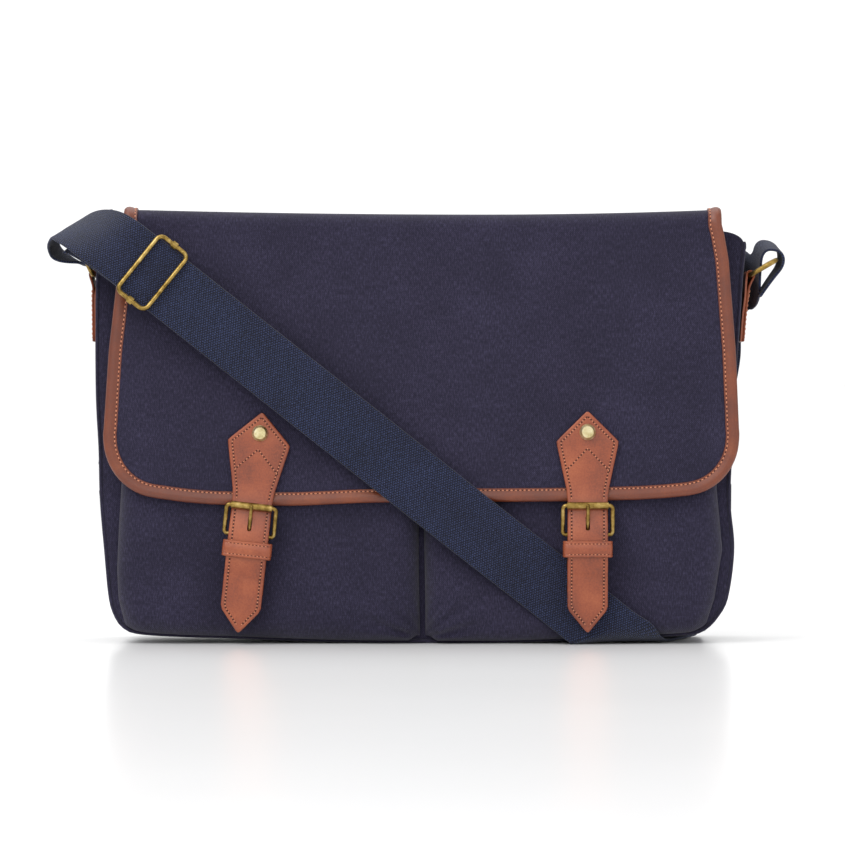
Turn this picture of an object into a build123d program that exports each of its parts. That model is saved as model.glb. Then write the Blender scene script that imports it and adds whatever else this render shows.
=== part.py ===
"""Canvas messenger bag with a leather-bound flap, two buckled closure straps and a webbing shoulder strap.

Frame: +X to the bag's right as seen from the front, the front faces -Y, +Z is up.
The origin is the middle of the flat underside. All sizes are millimetres.
"""

import os
from math import atan2, ceil, cos, radians, sin, sqrt, tan

from build123d import *

os.makedirs("parts", exist_ok=True)

# ---------------------------------------------------------------- driving dimensions
BODY_TOP = 256.0            # top edge of the gussets and the front panel
BACK_TOP = 262.0            # top edge of the back panel, where the flap is sewn on
HALF_BASE = 195.0           # half width just above the bottom corners
HALF_TOP = 202.0            # half width at the top edge
BACK_Y = 50.0               # outer face of the back panel
FRONT_Y = -36.0             # outer face of the front panel
PANEL = 3.0                 # canvas, padding and seam allowance together
LINING = 0.8
LINING_GAP = 0.4
BASE_FLAT = 60.0            # half length of the underside that meets the ground
BASE_KNEE = 105.0           # past here the underside has lifted by BASE_LIFT
BASE_LIFT = 4.5
CORNER_LIFT = 6.5
CORNER_R = 30.0
GUSSET_SPLIT = 158.0        # the bottom strip is sewn to the side gussets here

POCKET_FACE_Y = -48.0
POCKET_TOP = 168.0
POCKET_FOOT = 8.5
POCKET_GAP = 3.0            # half the groove between the two pockets
POCKET_WALL = 2.0
POCKET_SIDE = 188.0

FLAP_T = 2.0
FLAP_Z = 264.0              # underside of the flap where it covers the mouth
FLAP_FACE_Y = -54.0         # outer face of the hanging part
FLAP_HALF_TOP = 184.0
FLAP_HALF_LOW = 198.0
FLAP_SIDE_LOW = 128.0       # height where the side edges run into the rounded corners
FLAP_HEM = 91.0
FLAP_HEM_MID = 87.0
FLAP_HEM_HALF = 162.0
BACK_HINGE = (49.0, 265.0)  # Y and Z of the seam the flap turns on
FOLD_HINGE = (-53.0, 265.0) # Y and Z of the fold over the front edge
BINDING_W = 8.5
BINDING_T = 3.2

CLOSURE_LEFT = (-105.4, 86.0)       # X and Z of each buckle's roller
CLOSURE_RIGHT = (102.6, 86.5)
LEAN_LEFT = radians(-6.3)           # the left closure hangs a little askew
STRAP_W = 25.0              # closure strap
STRAP_T = 1.8
STRAP_SHOULDER = 19.3
STRAP_TOP = 58.0            # heights along the strap, counted from the buckle's roller
STRAP_SHOULDER_V = 39.5
STRAP_NECK_V = 6.0
STRAP_POINT_V = -64.0
STRAP_TIP_V = -78.5
# The strap's middle layer from the side: distance out from the bag, then height along the strap.
STRAP_LINE = (
    (55.8, STRAP_TOP + 1),
    (55.8, 14),
    (57.2, 0),
    (60.2, -16),
    (60.2, -34),
    (57.4, -50),
    (56.6, STRAP_TIP_V - 1),
)
SLOT_V = -13.5              # the prong's slot
SLOT_LEN = 15.0
SLOT_W = 4.2
RIVET_V = 45.5
RIVET_R = 5.0
RIVET_HOLE = 1.6
RIVET_CAP = 57.5            # where the domed cap starts, counted out from the bag
# Back washer, post and front washer: radius, start and length.
RIVET_DISCS = ((3.5, 51.0, 0.9), (1.5, 51.0, 6.0), (RIVET_R, 56.8, 0.7))
BUCKLE_HALF = 15.4
BUCKLE_WIRE = 1.3
BUCKLE_DROP = 18.0
BUCKLE_CORNER = 2.3
ROLLER_R = 2.2
ROLLER_LEN = 25.4
ROLLER_Y = -60.7
REAR_BAR_Y = -56.6
PIN_CLEARANCE = 0.06
PRONG_R = 1.1
PRONG_EYE = 2.3
PRONG_W = 3.0
PRONG_REST = 0.25           # clearance of the resting prong over the roller
UNDER_TAB_FOOT = -56.0
UNDER_TAB_Y = -51.8
UNDER_TAB_T = 1.9
UNDER_TAB_LOOP = 2.35       # radius of the leather round the rear bar
UNDER_TAB_NOTCH = (5.0, 7.5)
KEEPER_TOP = -22.0
KEEPER_FOOT = -32.0
KEEPER_Y = -58.4
KEEPER_DEPTH = 9.0
KEEPER_W = 30.6
KEEPER_T = 1.3
SNAP_V = -30.0
SNAP_R = 7.0
SNAP_DISC_Y = -50.3         # back of the stud's disc
SNAP_DISC_T = 1.4
SNAP_POST_R = 2.2
SNAP_POST_T = 1.2
SNAP_HOLE_R = 3.2
SNAP_SOCKET_T = 1.9

RING_WIRE = 1.5
RING_HALF = 22.6            # half of the ring's width between wire centres
RING_REACH = 18.0
RING_CORNER = 4.0
RING_LEAN_LEFT = 25.0       # degrees outward from upright
RING_LEAN_RIGHT = 60.0
RING_X = 207.0
RING_Z = 231.0
TAB_W = 34.0
TAB_FOOT = 188.0
TAB_T = 3.4
TAB_LOOP = 3.4              # radius of the leather round the ring's bar
TAB_GAP = 0.6               # clear of the gusset

WEB_W = 40.0
WEB_T = 1.9
FOLD_W = 66.0               # longest section, where the webbing folds obliquely under the bag
SLIDER_HALF = 21.9
SLIDER_REACH = 11.0
SLIDER_WIRE = 1.4
SLIDER_CORNER = 4.0
SLIDER_STAND = 2.8          # the frame's wire stands this far in front of the webbing
SLIDER_AT = (-166.5, -66.0, 230.0)
BAR_R = 1.0
BAR_STAND = -4.1            # the centre bar lies this far behind it
BAR_CLEAR = 0.05            # between the bar and the webbing wrapped round it
POST_W = 2.4                # the posts that join the bar to the frame
POST_D = 2.8
LUG_R = 2.3
LUG_LEN = 3.6
RUN = (0.7848, 0.0, -0.6198)        # direction of the straight run the slider travels on
RUN_WIDTH = (-0.61, -0.15, -0.78)   # direction of the webbing's width there


def save(part, label):
    """Name a finished piece and write it."""
    part.label = label
    export_step(part, f"parts/{label}.step")


def y_plane(y):
    """A sketch plane facing forward whose sketches extrude towards the front."""
    return Plane.XZ.offset(-y)


# ---------------------------------------------------------------- outlines
def half_width(z):
    """The body leans out a little towards its top."""
    return HALF_BASE + (HALF_TOP - HALF_BASE) * (z - CORNER_R) / (BODY_TOP - CORNER_R)


def body_outline(plane, inset, top):
    """The body seen from the front: bowed underside, round bottom corners, sides leaning out."""
    low = half_width(CORNER_LIFT) - inset
    high = half_width(top) - inset
    with BuildSketch(plane) as outline:
        with BuildLine():
            Polyline(
                (-BASE_FLAT, inset),
                (BASE_FLAT, inset),
                (BASE_KNEE, BASE_LIFT + inset),
                (low, CORNER_LIFT + inset),
                (high, top),
                (-high, top),
                (-low, CORNER_LIFT + inset),
                (-BASE_KNEE, BASE_LIFT + inset),
                close=True,
            )
        make_face()
        corners = outline.vertices().filter_by(lambda v: abs(abs(v.X) - low) < 0.01)
        fillet(corners, CORNER_R - inset)
    return outline.sketch


def flap_outline(plane, inset, top):
    """The hanging part of the flap: flared sides, large round corners, a slightly bowed hem."""
    low = FLAP_HALF_LOW - inset
    high = FLAP_HALF_TOP - inset
    hem = FLAP_HEM + inset
    with BuildSketch(plane) as outline:
        with BuildLine():
            Polyline((-low, FLAP_SIDE_LOW), (-high, top), (high, top), (low, FLAP_SIDE_LOW))
            ThreePointArc((-FLAP_HEM_HALF, hem), (0, FLAP_HEM_MID + inset), (FLAP_HEM_HALF, hem))
            bulge = (low - FLAP_HEM_HALF) * (1 - sqrt(0.5))
            drop = (FLAP_SIDE_LOW - hem) * (1 - sqrt(0.5))
            ThreePointArc((low, FLAP_SIDE_LOW), (low - bulge, hem + drop), (FLAP_HEM_HALF, hem))
            ThreePointArc((-low, FLAP_SIDE_LOW), (bulge - low, hem + drop), (-FLAP_HEM_HALF, hem))
        make_face()
    return outline.sketch


# ---------------------------------------------------------------- body
def body_panels():
    """Back and front panels, and the strip between them in three sewn lengths."""
    with BuildPart() as back_panel:
        extrude(body_outline(y_plane(BACK_Y), 0, BACK_TOP), amount=PANEL)
    save(back_panel.part, "back_panel")

    with BuildPart() as front_panel:
        extrude(body_outline(y_plane(FRONT_Y + PANEL), 0, BODY_TOP), amount=PANEL)
    save(front_panel.part, "front_panel")

    depth = BACK_Y - FRONT_Y - 2 * PANEL
    spans = {
        "gusset_left": (-HALF_TOP - 10, -GUSSET_SPLIT),
        "base_panel": (-GUSSET_SPLIT, GUSSET_SPLIT),
        "gusset_right": (GUSSET_SPLIT, HALF_TOP + 10),
    }
    for label, (start, end) in spans.items():
        with BuildPart() as strip:
            extrude(body_outline(y_plane(BACK_Y - PANEL), 0, BODY_TOP), amount=depth)
            extrude(
                body_outline(y_plane(BACK_Y - PANEL), PANEL, BODY_TOP + 20),
                amount=depth,
                mode=Mode.SUBTRACT,
            )
            with BuildSketch(y_plane(BACK_Y)) as span:
                with Locations(((start + end) / 2, BODY_TOP / 2)):
                    Rectangle(end - start, 2 * BODY_TOP)
            extrude(span.sketch, amount=BACK_Y - FRONT_Y, mode=Mode.INTERSECT)
        save(strip.part, label)


def lining():
    """One thin sewn bag inside the panels, open at the top."""
    outer = PANEL + LINING_GAP
    inner = outer + LINING
    with BuildPart() as bag:
        extrude(
            body_outline(y_plane(BACK_Y - outer), outer, BODY_TOP - 2),
            amount=BACK_Y - FRONT_Y - 2 * outer,
        )
        extrude(
            body_outline(y_plane(BACK_Y - inner), inner, BODY_TOP + 20),
            amount=BACK_Y - FRONT_Y - 2 * inner,
            mode=Mode.SUBTRACT,
        )
    save(bag.part, "lining")


def pocket(label, side):
    """A bellows pocket: a shallow box of canvas, open along its top."""
    depth = FRONT_Y - POCKET_FACE_Y
    width = POCKET_SIDE - POCKET_GAP
    middle = side * (POCKET_SIDE + POCKET_GAP) / 2
    with BuildPart() as box:
        with BuildSketch(y_plane(FRONT_Y)):
            with Locations((middle, (POCKET_TOP + POCKET_FOOT) / 2)):
                RectangleRounded(width, POCKET_TOP - POCKET_FOOT, 14)
        extrude(amount=depth)
        with BuildSketch(y_plane(FRONT_Y - POCKET_WALL)):
            inner_height = POCKET_TOP - POCKET_FOOT + 40 - 2 * POCKET_WALL
            with Locations((middle, (POCKET_TOP + POCKET_FOOT) / 2 + 20)):
                RectangleRounded(width - 2 * POCKET_WALL, inner_height, 12)
        extrude(amount=depth - 2 * POCKET_WALL, mode=Mode.SUBTRACT)
    save(box.part, label)


# ---------------------------------------------------------------- flap
def flap(rivets):
    """The flap in its two parts, over the mouth and down the front, each with its leather binding."""
    front = FOLD_HINGE[0] + 3
    start = BACK_HINGE[0] - 2
    lift = (BINDING_T - FLAP_T) / 2
    with BuildPart() as top:
        with BuildSketch(Plane.XY.offset(FLAP_Z)):
            with Locations((0, (start + front) / 2)):
                Rectangle(2 * (FLAP_HALF_TOP - BINDING_W - 0.1), start - front)
        extrude(amount=FLAP_T)
    save(top.part, "flap_top_panel")

    with BuildPart() as top_binding:
        with BuildSketch(Plane.XY.offset(FLAP_Z - lift)):
            with Locations(
                (FLAP_HALF_TOP - BINDING_W / 2, (start + front) / 2),
                (BINDING_W / 2 - FLAP_HALF_TOP, (start + front) / 2),
            ):
                Rectangle(BINDING_W, start - front)
        extrude(amount=BINDING_T)
    save(top_binding.part, "binding_top")

    top_z = FOLD_HINGE[1] - 2.5
    with BuildPart() as front_panel:
        extrude(flap_outline(y_plane(FLAP_FACE_Y + FLAP_T), BINDING_W + 0.1, top_z), amount=FLAP_T)
        with BuildSketch(y_plane(FLAP_FACE_Y + FLAP_T)):
            with Locations(*rivets):
                Circle(RIVET_HOLE)
        extrude(amount=FLAP_T, mode=Mode.SUBTRACT)
    save(front_panel.part, "flap_front_panel")

    with BuildPart() as front_binding:
        extrude(flap_outline(y_plane(FLAP_FACE_Y + FLAP_T + lift), 0, top_z), amount=BINDING_T)
        extrude(
            flap_outline(y_plane(FLAP_FACE_Y + FLAP_T + lift), BINDING_W, top_z + 20),
            amount=BINDING_T,
            mode=Mode.SUBTRACT,
        )
    save(front_binding.part, "binding_front")


# ---------------------------------------------------------------- closure straps
def strap_plane(origin, lean, y=0.0):
    """The closure's own plane: x across the strap, y up along it, z out of the bag's front."""
    return Plane(origin=(origin[0], y, origin[1]), x_dir=(cos(lean), 0, sin(lean)), z_dir=(0, -1, 0))


def side_plane(origin, lean, across=0.0):
    """The closure's side view: x towards the front of the bag, y up along the strap."""
    middle = strap_plane(origin, lean)
    return Plane(
        origin=middle.from_local_coords((across, 0, 0)),
        x_dir=(0, -1, 0),
        z_dir=-middle.x_dir,
    )


def closure_strap(label, origin, lean):
    """The leather strap: broad pointed head, neck, and a tail that runs through the buckle."""
    with BuildPart() as strap:
        with BuildSketch(strap_plane(origin, lean)):
            with BuildLine():
                Polyline(
                    (0, STRAP_TOP),
                    (STRAP_SHOULDER, STRAP_SHOULDER_V),
                    (STRAP_W / 2, STRAP_NECK_V),
                    (STRAP_W / 2, STRAP_POINT_V),
                    (0, STRAP_TIP_V),
                    (-STRAP_W / 2, STRAP_POINT_V),
                    (-STRAP_W / 2, STRAP_NECK_V),
                    (-STRAP_SHOULDER, STRAP_SHOULDER_V),
                    close=True,
                )
            make_face()
        extrude(amount=90)
        with BuildSketch(side_plane(origin, lean, 30)):
            with BuildLine():
                FilletPolyline(*STRAP_LINE, radius=6)
                offset(amount=STRAP_T / 2, side=Side.BOTH, closed=True)
            make_face()
        extrude(amount=60, mode=Mode.INTERSECT)
        with BuildSketch(strap_plane(origin, lean)):
            with Locations((0, RIVET_V)):
                Circle(RIVET_HOLE)
            with Locations((0, SLOT_V)):
                SlotOverall(SLOT_LEN, SLOT_W, rotation=90)
        extrude(amount=90, mode=Mode.SUBTRACT)
    save(strap.part, label)


def rivet(label, origin, lean):
    """Domed cap, post and back washer, all on one axis."""
    with BuildPart() as piece:
        for radius, start, length in RIVET_DISCS:
            with BuildSketch(strap_plane(origin, lean, -start)):
                with Locations((0, RIVET_V)):
                    Circle(radius)
            extrude(amount=length)
        with BuildSketch(strap_plane(origin, lean, -RIVET_CAP)):
            with Locations((0, RIVET_V)):
                Circle(RIVET_R)
        extrude(amount=1.8, taper=38)
    save(piece.part, label)


def buckle_plane(origin, lean):
    """The buckle frame's plane: its roller end stands further forward than its rear bar."""
    roller = strap_plane(origin, lean, ROLLER_Y).origin
    rear = strap_plane(origin, lean, REAR_BAR_Y).from_local_coords((0, -BUCKLE_DROP, 0))
    across = strap_plane(origin, lean).x_dir
    up = (roller - rear).normalized()
    return Plane(origin=rear, x_dir=across, z_dir=across.cross(up))


def wire_frame(plane, low, high, half, corner, wire):
    """A closed rectangle of round wire between two heights."""
    with BuildPart() as frame:
        with BuildSketch(plane):
            with Locations((0, (low + high) / 2)):
                RectangleRounded(2 * half, high - low, corner)
        path = frame.pending_faces[0].outer_wire()
        frame.pending_faces.clear()
        start = path.position_at(0)
        with BuildSketch(Plane(origin=start, z_dir=path.tangent_at(0))):
            Circle(wire)
        sweep(path=path)
    return frame.part


def buckle(side, origin, lean):
    """Roller buckle: wire frame, roller on its front bar, prong on its rear bar."""
    plane = buckle_plane(origin, lean)
    rise = sqrt(BUCKLE_DROP**2 + (REAR_BAR_Y - ROLLER_Y) ** 2)
    frame = wire_frame(plane, 0, rise, BUCKLE_HALF, BUCKLE_CORNER, BUCKLE_WIRE)
    save(frame, f"buckle_frame_{side}")

    across = plane.x_dir
    roller_at = plane.from_local_coords((0, rise, 0))
    with BuildPart() as roller:
        with BuildSketch(Plane(origin=roller_at - across * (ROLLER_LEN / 2), z_dir=across)):
            Circle(ROLLER_R)
            Circle(BUCKLE_WIRE + PIN_CLEARANCE, mode=Mode.SUBTRACT)
        extrude(amount=ROLLER_LEN)
    save(roller.part, f"buckle_roller_{side}")

    # The prong's eye turns on the rear bar and its tip rests just clear of the roller.
    stand = ROLLER_R + PRONG_R + PRONG_REST
    slope = atan2(stand, rise)
    reach = sqrt(rise**2 + stand**2)
    with BuildPart() as prong:
        with BuildSketch(Plane(origin=plane.origin - across * (PRONG_W / 2), z_dir=across)):
            Circle(PRONG_EYE)
        extrude(amount=PRONG_W)
        normal = plane.z_dir
        direction = (plane.y_dir * cos(slope) + normal * sin(slope)).normalized()
        with BuildSketch(Plane(origin=plane.origin + direction * 1.2, z_dir=direction)):
            Circle(PRONG_R)
        extrude(amount=reach - 0.4)
        tip = plane.origin + direction * (reach + 0.8)
        with Locations(Location(tip)):
            Sphere(PRONG_R)
        with BuildSketch(Plane(origin=plane.origin - across * PRONG_W, z_dir=across)):
            Circle(BUCKLE_WIRE + PIN_CLEARANCE)
        extrude(amount=2 * PRONG_W, mode=Mode.SUBTRACT)
    save(prong.part, f"buckle_prong_{side}")
    print(f"prong_{side}: pivot", tuple(plane.origin), "axis", tuple(across), "roller", tuple(roller_at))


def under_tab(side, origin, lean):
    """Leather tab behind the tail: its top folds round the rear bar, with a notch for the prong."""
    with BuildPart() as tab:
        with BuildSketch(strap_plane(origin, lean, UNDER_TAB_Y)):
            with Locations((0, (UNDER_TAB_FOOT - BUCKLE_DROP) / 2)):
                Rectangle(STRAP_W, -BUCKLE_DROP - UNDER_TAB_FOOT)
        extrude(amount=UNDER_TAB_T)
        across = strap_plane(origin, lean).x_dir
        rear = strap_plane(origin, lean, REAR_BAR_Y).from_local_coords((0, -BUCKLE_DROP, 0))
        with BuildSketch(Plane(origin=rear - across * (STRAP_W / 2), z_dir=across)):
            Circle(UNDER_TAB_LOOP)
        extrude(amount=STRAP_W)
        with BuildSketch(strap_plane(origin, lean, UNDER_TAB_Y)):
            with Locations((0, -BUCKLE_DROP - 1.2)):
                Rectangle(STRAP_W, 2.4)
        extrude(amount=UNDER_TAB_Y - REAR_BAR_Y)
        with BuildSketch(Plane(origin=rear - across * STRAP_W, z_dir=across)):
            Circle(BUCKLE_WIRE + 0.02)
        extrude(amount=2 * STRAP_W, mode=Mode.SUBTRACT)
        with BuildSketch(strap_plane(origin, lean, -50)):
            with Locations((0, -BUCKLE_DROP)):
                Rectangle(*UNDER_TAB_NOTCH)
        extrude(amount=12, mode=Mode.SUBTRACT)
    save(tab.part, f"under_tab_{side}")


def keeper(side, origin, lean):
    """A leather loop sewn to the under tab, round the tail just below the buckle."""
    face = strap_plane(origin, lean, KEEPER_Y)
    with BuildPart() as loop:
        foot = face.from_local_coords((0, KEEPER_FOOT, 0))
        with BuildSketch(Plane(origin=foot, x_dir=face.x_dir, z_dir=face.y_dir)):
            RectangleRounded(KEEPER_W, KEEPER_DEPTH, 2.2)
            inside = (KEEPER_W - 2 * KEEPER_T, KEEPER_DEPTH - 2 * KEEPER_T)
            RectangleRounded(*inside, 1.0, mode=Mode.SUBTRACT)
        extrude(amount=KEEPER_TOP - KEEPER_FOOT)
    save(loop.part, f"keeper_{side}")


def snap(side, origin, lean):
    """Magnetic snap: a stud behind the under tab and a socket on the pocket."""
    with BuildPart() as stud:
        with BuildSketch(strap_plane(origin, lean, SNAP_DISC_Y)):
            with Locations((0, SNAP_V)):
                Circle(SNAP_R)
        extrude(amount=SNAP_DISC_T)
        with BuildSketch(strap_plane(origin, lean, SNAP_DISC_Y + 1.1)):
            with Locations((0, SNAP_V)):
                Circle(SNAP_POST_R)
        extrude(amount=SNAP_POST_T)
    save(stud.part, f"snap_stud_{side}")

    with BuildPart() as socket:
        with BuildSketch(strap_plane(origin, lean, POCKET_FACE_Y)):
            with Locations((0, SNAP_V)):
                Circle(SNAP_R)
                Circle(SNAP_HOLE_R, mode=Mode.SUBTRACT)
        extrude(amount=SNAP_SOCKET_T)
    save(socket.part, f"snap_socket_{side}")


def closure(side, origin, lean):
    """Everything that makes one buckled closure."""
    closure_strap(f"closure_strap_{side}", origin, lean)
    rivet(f"rivet_{side}", origin, lean)
    buckle(side, origin, lean)
    under_tab(side, origin, lean)
    keeper(side, origin, lean)
    snap(side, origin, lean)


# ---------------------------------------------------------------- strap rings
def ring_tab(side, sign):
    """Folded leather tab sewn on the gusset, with the ring's bar in its fold."""
    with BuildPart() as tab:
        with BuildSketch(Plane.XZ.offset(-TAB_W / 2)):
            with Locations((sign * (HALF_TOP + TAB_GAP + TAB_T / 2), (TAB_FOOT + RING_Z) / 2)):
                Rectangle(TAB_T, RING_Z - TAB_FOOT)
            with Locations((sign * RING_X, RING_Z)):
                Circle(TAB_LOOP)
            with Locations((sign * RING_X, RING_Z)):
                Circle(RING_WIRE + PIN_CLEARANCE, mode=Mode.SUBTRACT)
        extrude(amount=TAB_W)
    save(tab.part, f"ring_tab_{side}")


def strap_ring(side, sign, tilt):
    """Rectangular ring of round wire, leaning outwards by tilt degrees from upright."""
    up = Vector(sign * sin(radians(tilt)), 0, cos(radians(tilt)))
    across = Vector(0, 1, 0)
    plane = Plane(origin=(sign * RING_X, 0, RING_Z), x_dir=across, z_dir=across.cross(up))
    ring = wire_frame(plane, 0, RING_REACH, RING_HALF, RING_CORNER, RING_WIRE)
    save(ring, f"strap_ring_{side}")


# ---------------------------------------------------------------- webbing
def band(label, stations, radii):
    """Return a flat band along straight runs and tangent arcs.

    Each station is a corner of the route and the direction of the band's width there. Where the
    width isn't square to the run, as at an oblique fold, the section is longer to keep the web's width.
    """
    points = [Vector(*point) for point, _ in stations]
    widths = [Vector(*width).normalized() for _, width in stations]
    path = FilletPolyline(*points, radius=radii)
    marks = [0.0]
    for before, after in zip(points, points[1:]):
        marks.append(marks[-1] + (after - before).length)

    def width_at(fraction):
        place = fraction * marks[-1]
        step = next(i for i in range(1, len(marks)) if place <= marks[i] + 1e-6)
        share = (place - marks[step - 1]) / (marks[step] - marks[step - 1])
        return (widths[step - 1] * (1 - share) + widths[step] * share).normalized()

    sections = []
    done = 0.0
    for edge in path.edges():
        straight = edge.geom_type == GeomType.LINE
        pieces = ceil(edge.length / 25) if straight else min(8, max(2, ceil(edge.length / 2.5)))
        for k in range(pieces):
            sections.append((edge @ (k / pieces), edge % (k / pieces), done + edge.length * k / pieces))
        done += edge.length
    last = path.edges()[-1]
    sections.append((last @ 1, last % 1, done))
    with BuildPart() as strip:
        for place, tangent, run in sections:
            width = width_at(min(run / done, 1.0))
            square = tangent.cross(width)
            length = min(WEB_W / square.length, FOLD_W)
            with BuildSketch(Plane(origin=place, x_dir=width, z_dir=width.cross(square))):
                Rectangle(length, WEB_T)
        loft(ruled=True)
    share = strip.part.volume / (WEB_W * WEB_T * done)
    print(f"{label}: length {done:.0f} mm, volume share {share:.3f}, radii {[round(r, 1) for r in radii]}")
    return strip.part


def route_radii(points, chosen):
    """The largest arcs the runs allow, unless a corner has a chosen size of its own."""
    radii = []
    for i in range(1, len(points) - 1):
        before = Vector(*points[i]) - Vector(*points[i - 1])
        after = Vector(*points[i + 1]) - Vector(*points[i])
        turn = radians(before.get_angle(after))
        largest = 0.45 * min(before.length, after.length) / tan(turn / 2)
        radii.append(min(largest, chosen.get(i, 400.0)))
    return radii


# Each station: the route's point, then the direction of the webbing's width there.
STRAP_STATIONS = [
    ((210.5, 0, 219.5), (0, 1, 0)),
    ((214.0, 0, 230.0), (0, 1, 0)),
    ((213.0, 0, 240.0), (0, 1, 0)),
    ((224.2, 0, 247.4), (0, 1, 0)),
    ((228.2, 0, 240.0), (0, 1, 0)),
    ((221.0, 2, 228.0), (0, 1, 0.05)),
    ((214.0, 24, 218.0), (-0.2, 0.7, 0.65)),
    ((208.0, 49, 209.0), (-0.15, 0.1, 0.98)),
    ((194.0, 61, 192.0), (-0.6, 0.05, 0.8)),
    ((180.0, 61, 150.0), (-0.95, 0, 0.3)),
    ((172.0, 58, 84.0), (-1, 0, 0.1)),
    ((165.0, 58, 28.0), (-1, 0, 0.1)),
    ((160.0, 57, 1.3), (-1, 0, 0)),
    ((148.0, 12, 1.6), (-1, 0, 0)),
    ((123.4, -52, 1.3), (-1, 0, 0)),
    ((101.0, -50, 19.0), (-0.66, 0, -0.75)),
    ((70.0, -50.2, 43.5), (-0.62, 0, -0.78)),
    ((34.0, -58.6, 71.5), (-0.62, 0, -0.78)),
    ((-88.0, -66.0, 168.0), RUN_WIDTH),
    ((-194.0, -66.0, 251.7), RUN_WIDTH),
    ((-213.0, -45.0, 262.0), (-0.45, -0.65, -0.5)),
    ((-226.0, -18.0, 262.5), (-0.2, -0.95, -0.1)),
    ((-234.0, -4.0, 254.0), (-0.05, -1, 0)),
    ((-230.5, 0, 242.3), (0, -1, 0)),
    ((-216.0, 0, 238.7), (0, -1, 0)),
]
RETURN_STATIONS = [
    ((-215.98, 0, 238.7), (0, -1, 0)),
    ((-207.0, 0, 236.5), (0, -1, 0)),
    ((-206.0, -6, 247.0), (-0.1, -1, -0.1)),
    ((-208.4, -22, 257.2), (-0.3, -0.9, -0.3)),
    ((-209.5, -42, 257.5), (-0.6, -0.4, -0.65)),
    ((-194.5, -61.5, 251.0), (-0.61, -0.2, -0.77)),
    ((-168.2, -61.9, 231.3), RUN_WIDTH),
]


def webbing():
    """The main run goes right ring, behind and under the bag, across the front, left ring.

    The return goes from the left ring back to the slider's bar.
    """
    points = [point for point, _ in STRAP_STATIONS]
    chosen = {2: 4.0, 3: 4.0, 4: 4.5, 12: 8.0, 14: 6.0, 15: 90.0, 16: 90.0, 17: 90.0, 19: 20.0}
    save(band("shoulder_strap", STRAP_STATIONS, route_radii(points, chosen)), "shoulder_strap")

    back = [point for point, _ in RETURN_STATIONS]
    run = band("strap_return", RETURN_STATIONS, route_radii(back, {1: 6.0, 2: 12.0}))
    plane = slider_plane()
    wrap = plane.from_local_coords((-WEB_W / 2, 0, BAR_STAND))
    with BuildPart() as piece:
        with BuildSketch(Plane(origin=wrap, z_dir=plane.x_dir)):
            Circle(BAR_R + BAR_CLEAR + WEB_T)
        extrude(amount=WEB_W)
        add(run)
        with BuildSketch(Plane(origin=wrap, z_dir=plane.x_dir)):
            Circle(BAR_R + BAR_CLEAR)
        extrude(amount=WEB_W, mode=Mode.SUBTRACT)
    save(piece.part, "strap_return")


def slider_plane():
    """The slider's own plane: x across the webbing, y down the run, z away from the bag."""
    run = Vector(*RUN)
    across = -Vector(*RUN_WIDTH)
    across = (across - run * across.dot(run)).normalized()
    return Plane(origin=SLIDER_AT, x_dir=across, z_dir=run.cross(across))


def slider():
    """Adjuster: a wire frame in front of the webbing and a centre bar behind it."""
    plane = slider_plane()
    front = plane.offset(SLIDER_STAND)
    frame = wire_frame(front, -SLIDER_REACH, SLIDER_REACH, SLIDER_HALF, SLIDER_CORNER, SLIDER_WIRE)
    save(frame, "slider_frame")

    with BuildPart() as bar:
        foot = plane.from_local_coords((-SLIDER_HALF, 0, BAR_STAND))
        with BuildSketch(Plane(origin=foot, x_dir=plane.y_dir, z_dir=plane.x_dir)):
            Circle(BAR_R)
        extrude(amount=2 * SLIDER_HALF)
        for side in (-1, 1):
            post = plane.from_local_coords((side * SLIDER_HALF, 0, BAR_STAND - BAR_R))
            with BuildSketch(Plane(origin=post, x_dir=plane.x_dir, z_dir=plane.z_dir)):
                Rectangle(POST_W, POST_D)
            extrude(amount=SLIDER_STAND - BAR_STAND + BAR_R)
            lug = plane.from_local_coords((side * SLIDER_HALF, -LUG_LEN / 2, SLIDER_STAND))
            with BuildSketch(Plane(origin=lug, x_dir=plane.x_dir, z_dir=plane.y_dir)):
                Circle(LUG_R)
            extrude(amount=LUG_LEN)
        for side in (-1, 1):
            hole = plane.from_local_coords((side * SLIDER_HALF, -LUG_LEN, SLIDER_STAND))
            with BuildSketch(Plane(origin=hole, x_dir=plane.x_dir, z_dir=plane.y_dir)):
                Circle(SLIDER_WIRE + 0.02)
            extrude(amount=2 * LUG_LEN, mode=Mode.SUBTRACT)
    save(bar.part, "slider_bar")


if __name__ == "__main__":
    rivet_left = strap_plane(CLOSURE_LEFT, LEAN_LEFT).from_local_coords((0, RIVET_V, 0))
    rivet_right = strap_plane(CLOSURE_RIGHT, 0).from_local_coords((0, RIVET_V, 0))
    body_panels()
    lining()
    pocket("pocket_left", -1)
    pocket("pocket_right", 1)
    flap([(rivet_left.X, rivet_left.Z), (rivet_right.X, rivet_right.Z)])
    closure("left", CLOSURE_LEFT, LEAN_LEFT)
    closure("right", CLOSURE_RIGHT, 0.0)
    for name, sign, tilt in (("left", -1, RING_LEAN_LEFT), ("right", 1, RING_LEAN_RIGHT)):
        ring_tab(name, sign)
        strap_ring(name, sign, tilt)
    webbing()
    slider()
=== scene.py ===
"""Looks of the canvas messenger bag: cloth, webbing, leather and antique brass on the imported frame."""

from math import atan2, cos, pi, radians, sin, sqrt

import bpy
import numpy as np
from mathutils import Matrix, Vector, noise


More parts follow.
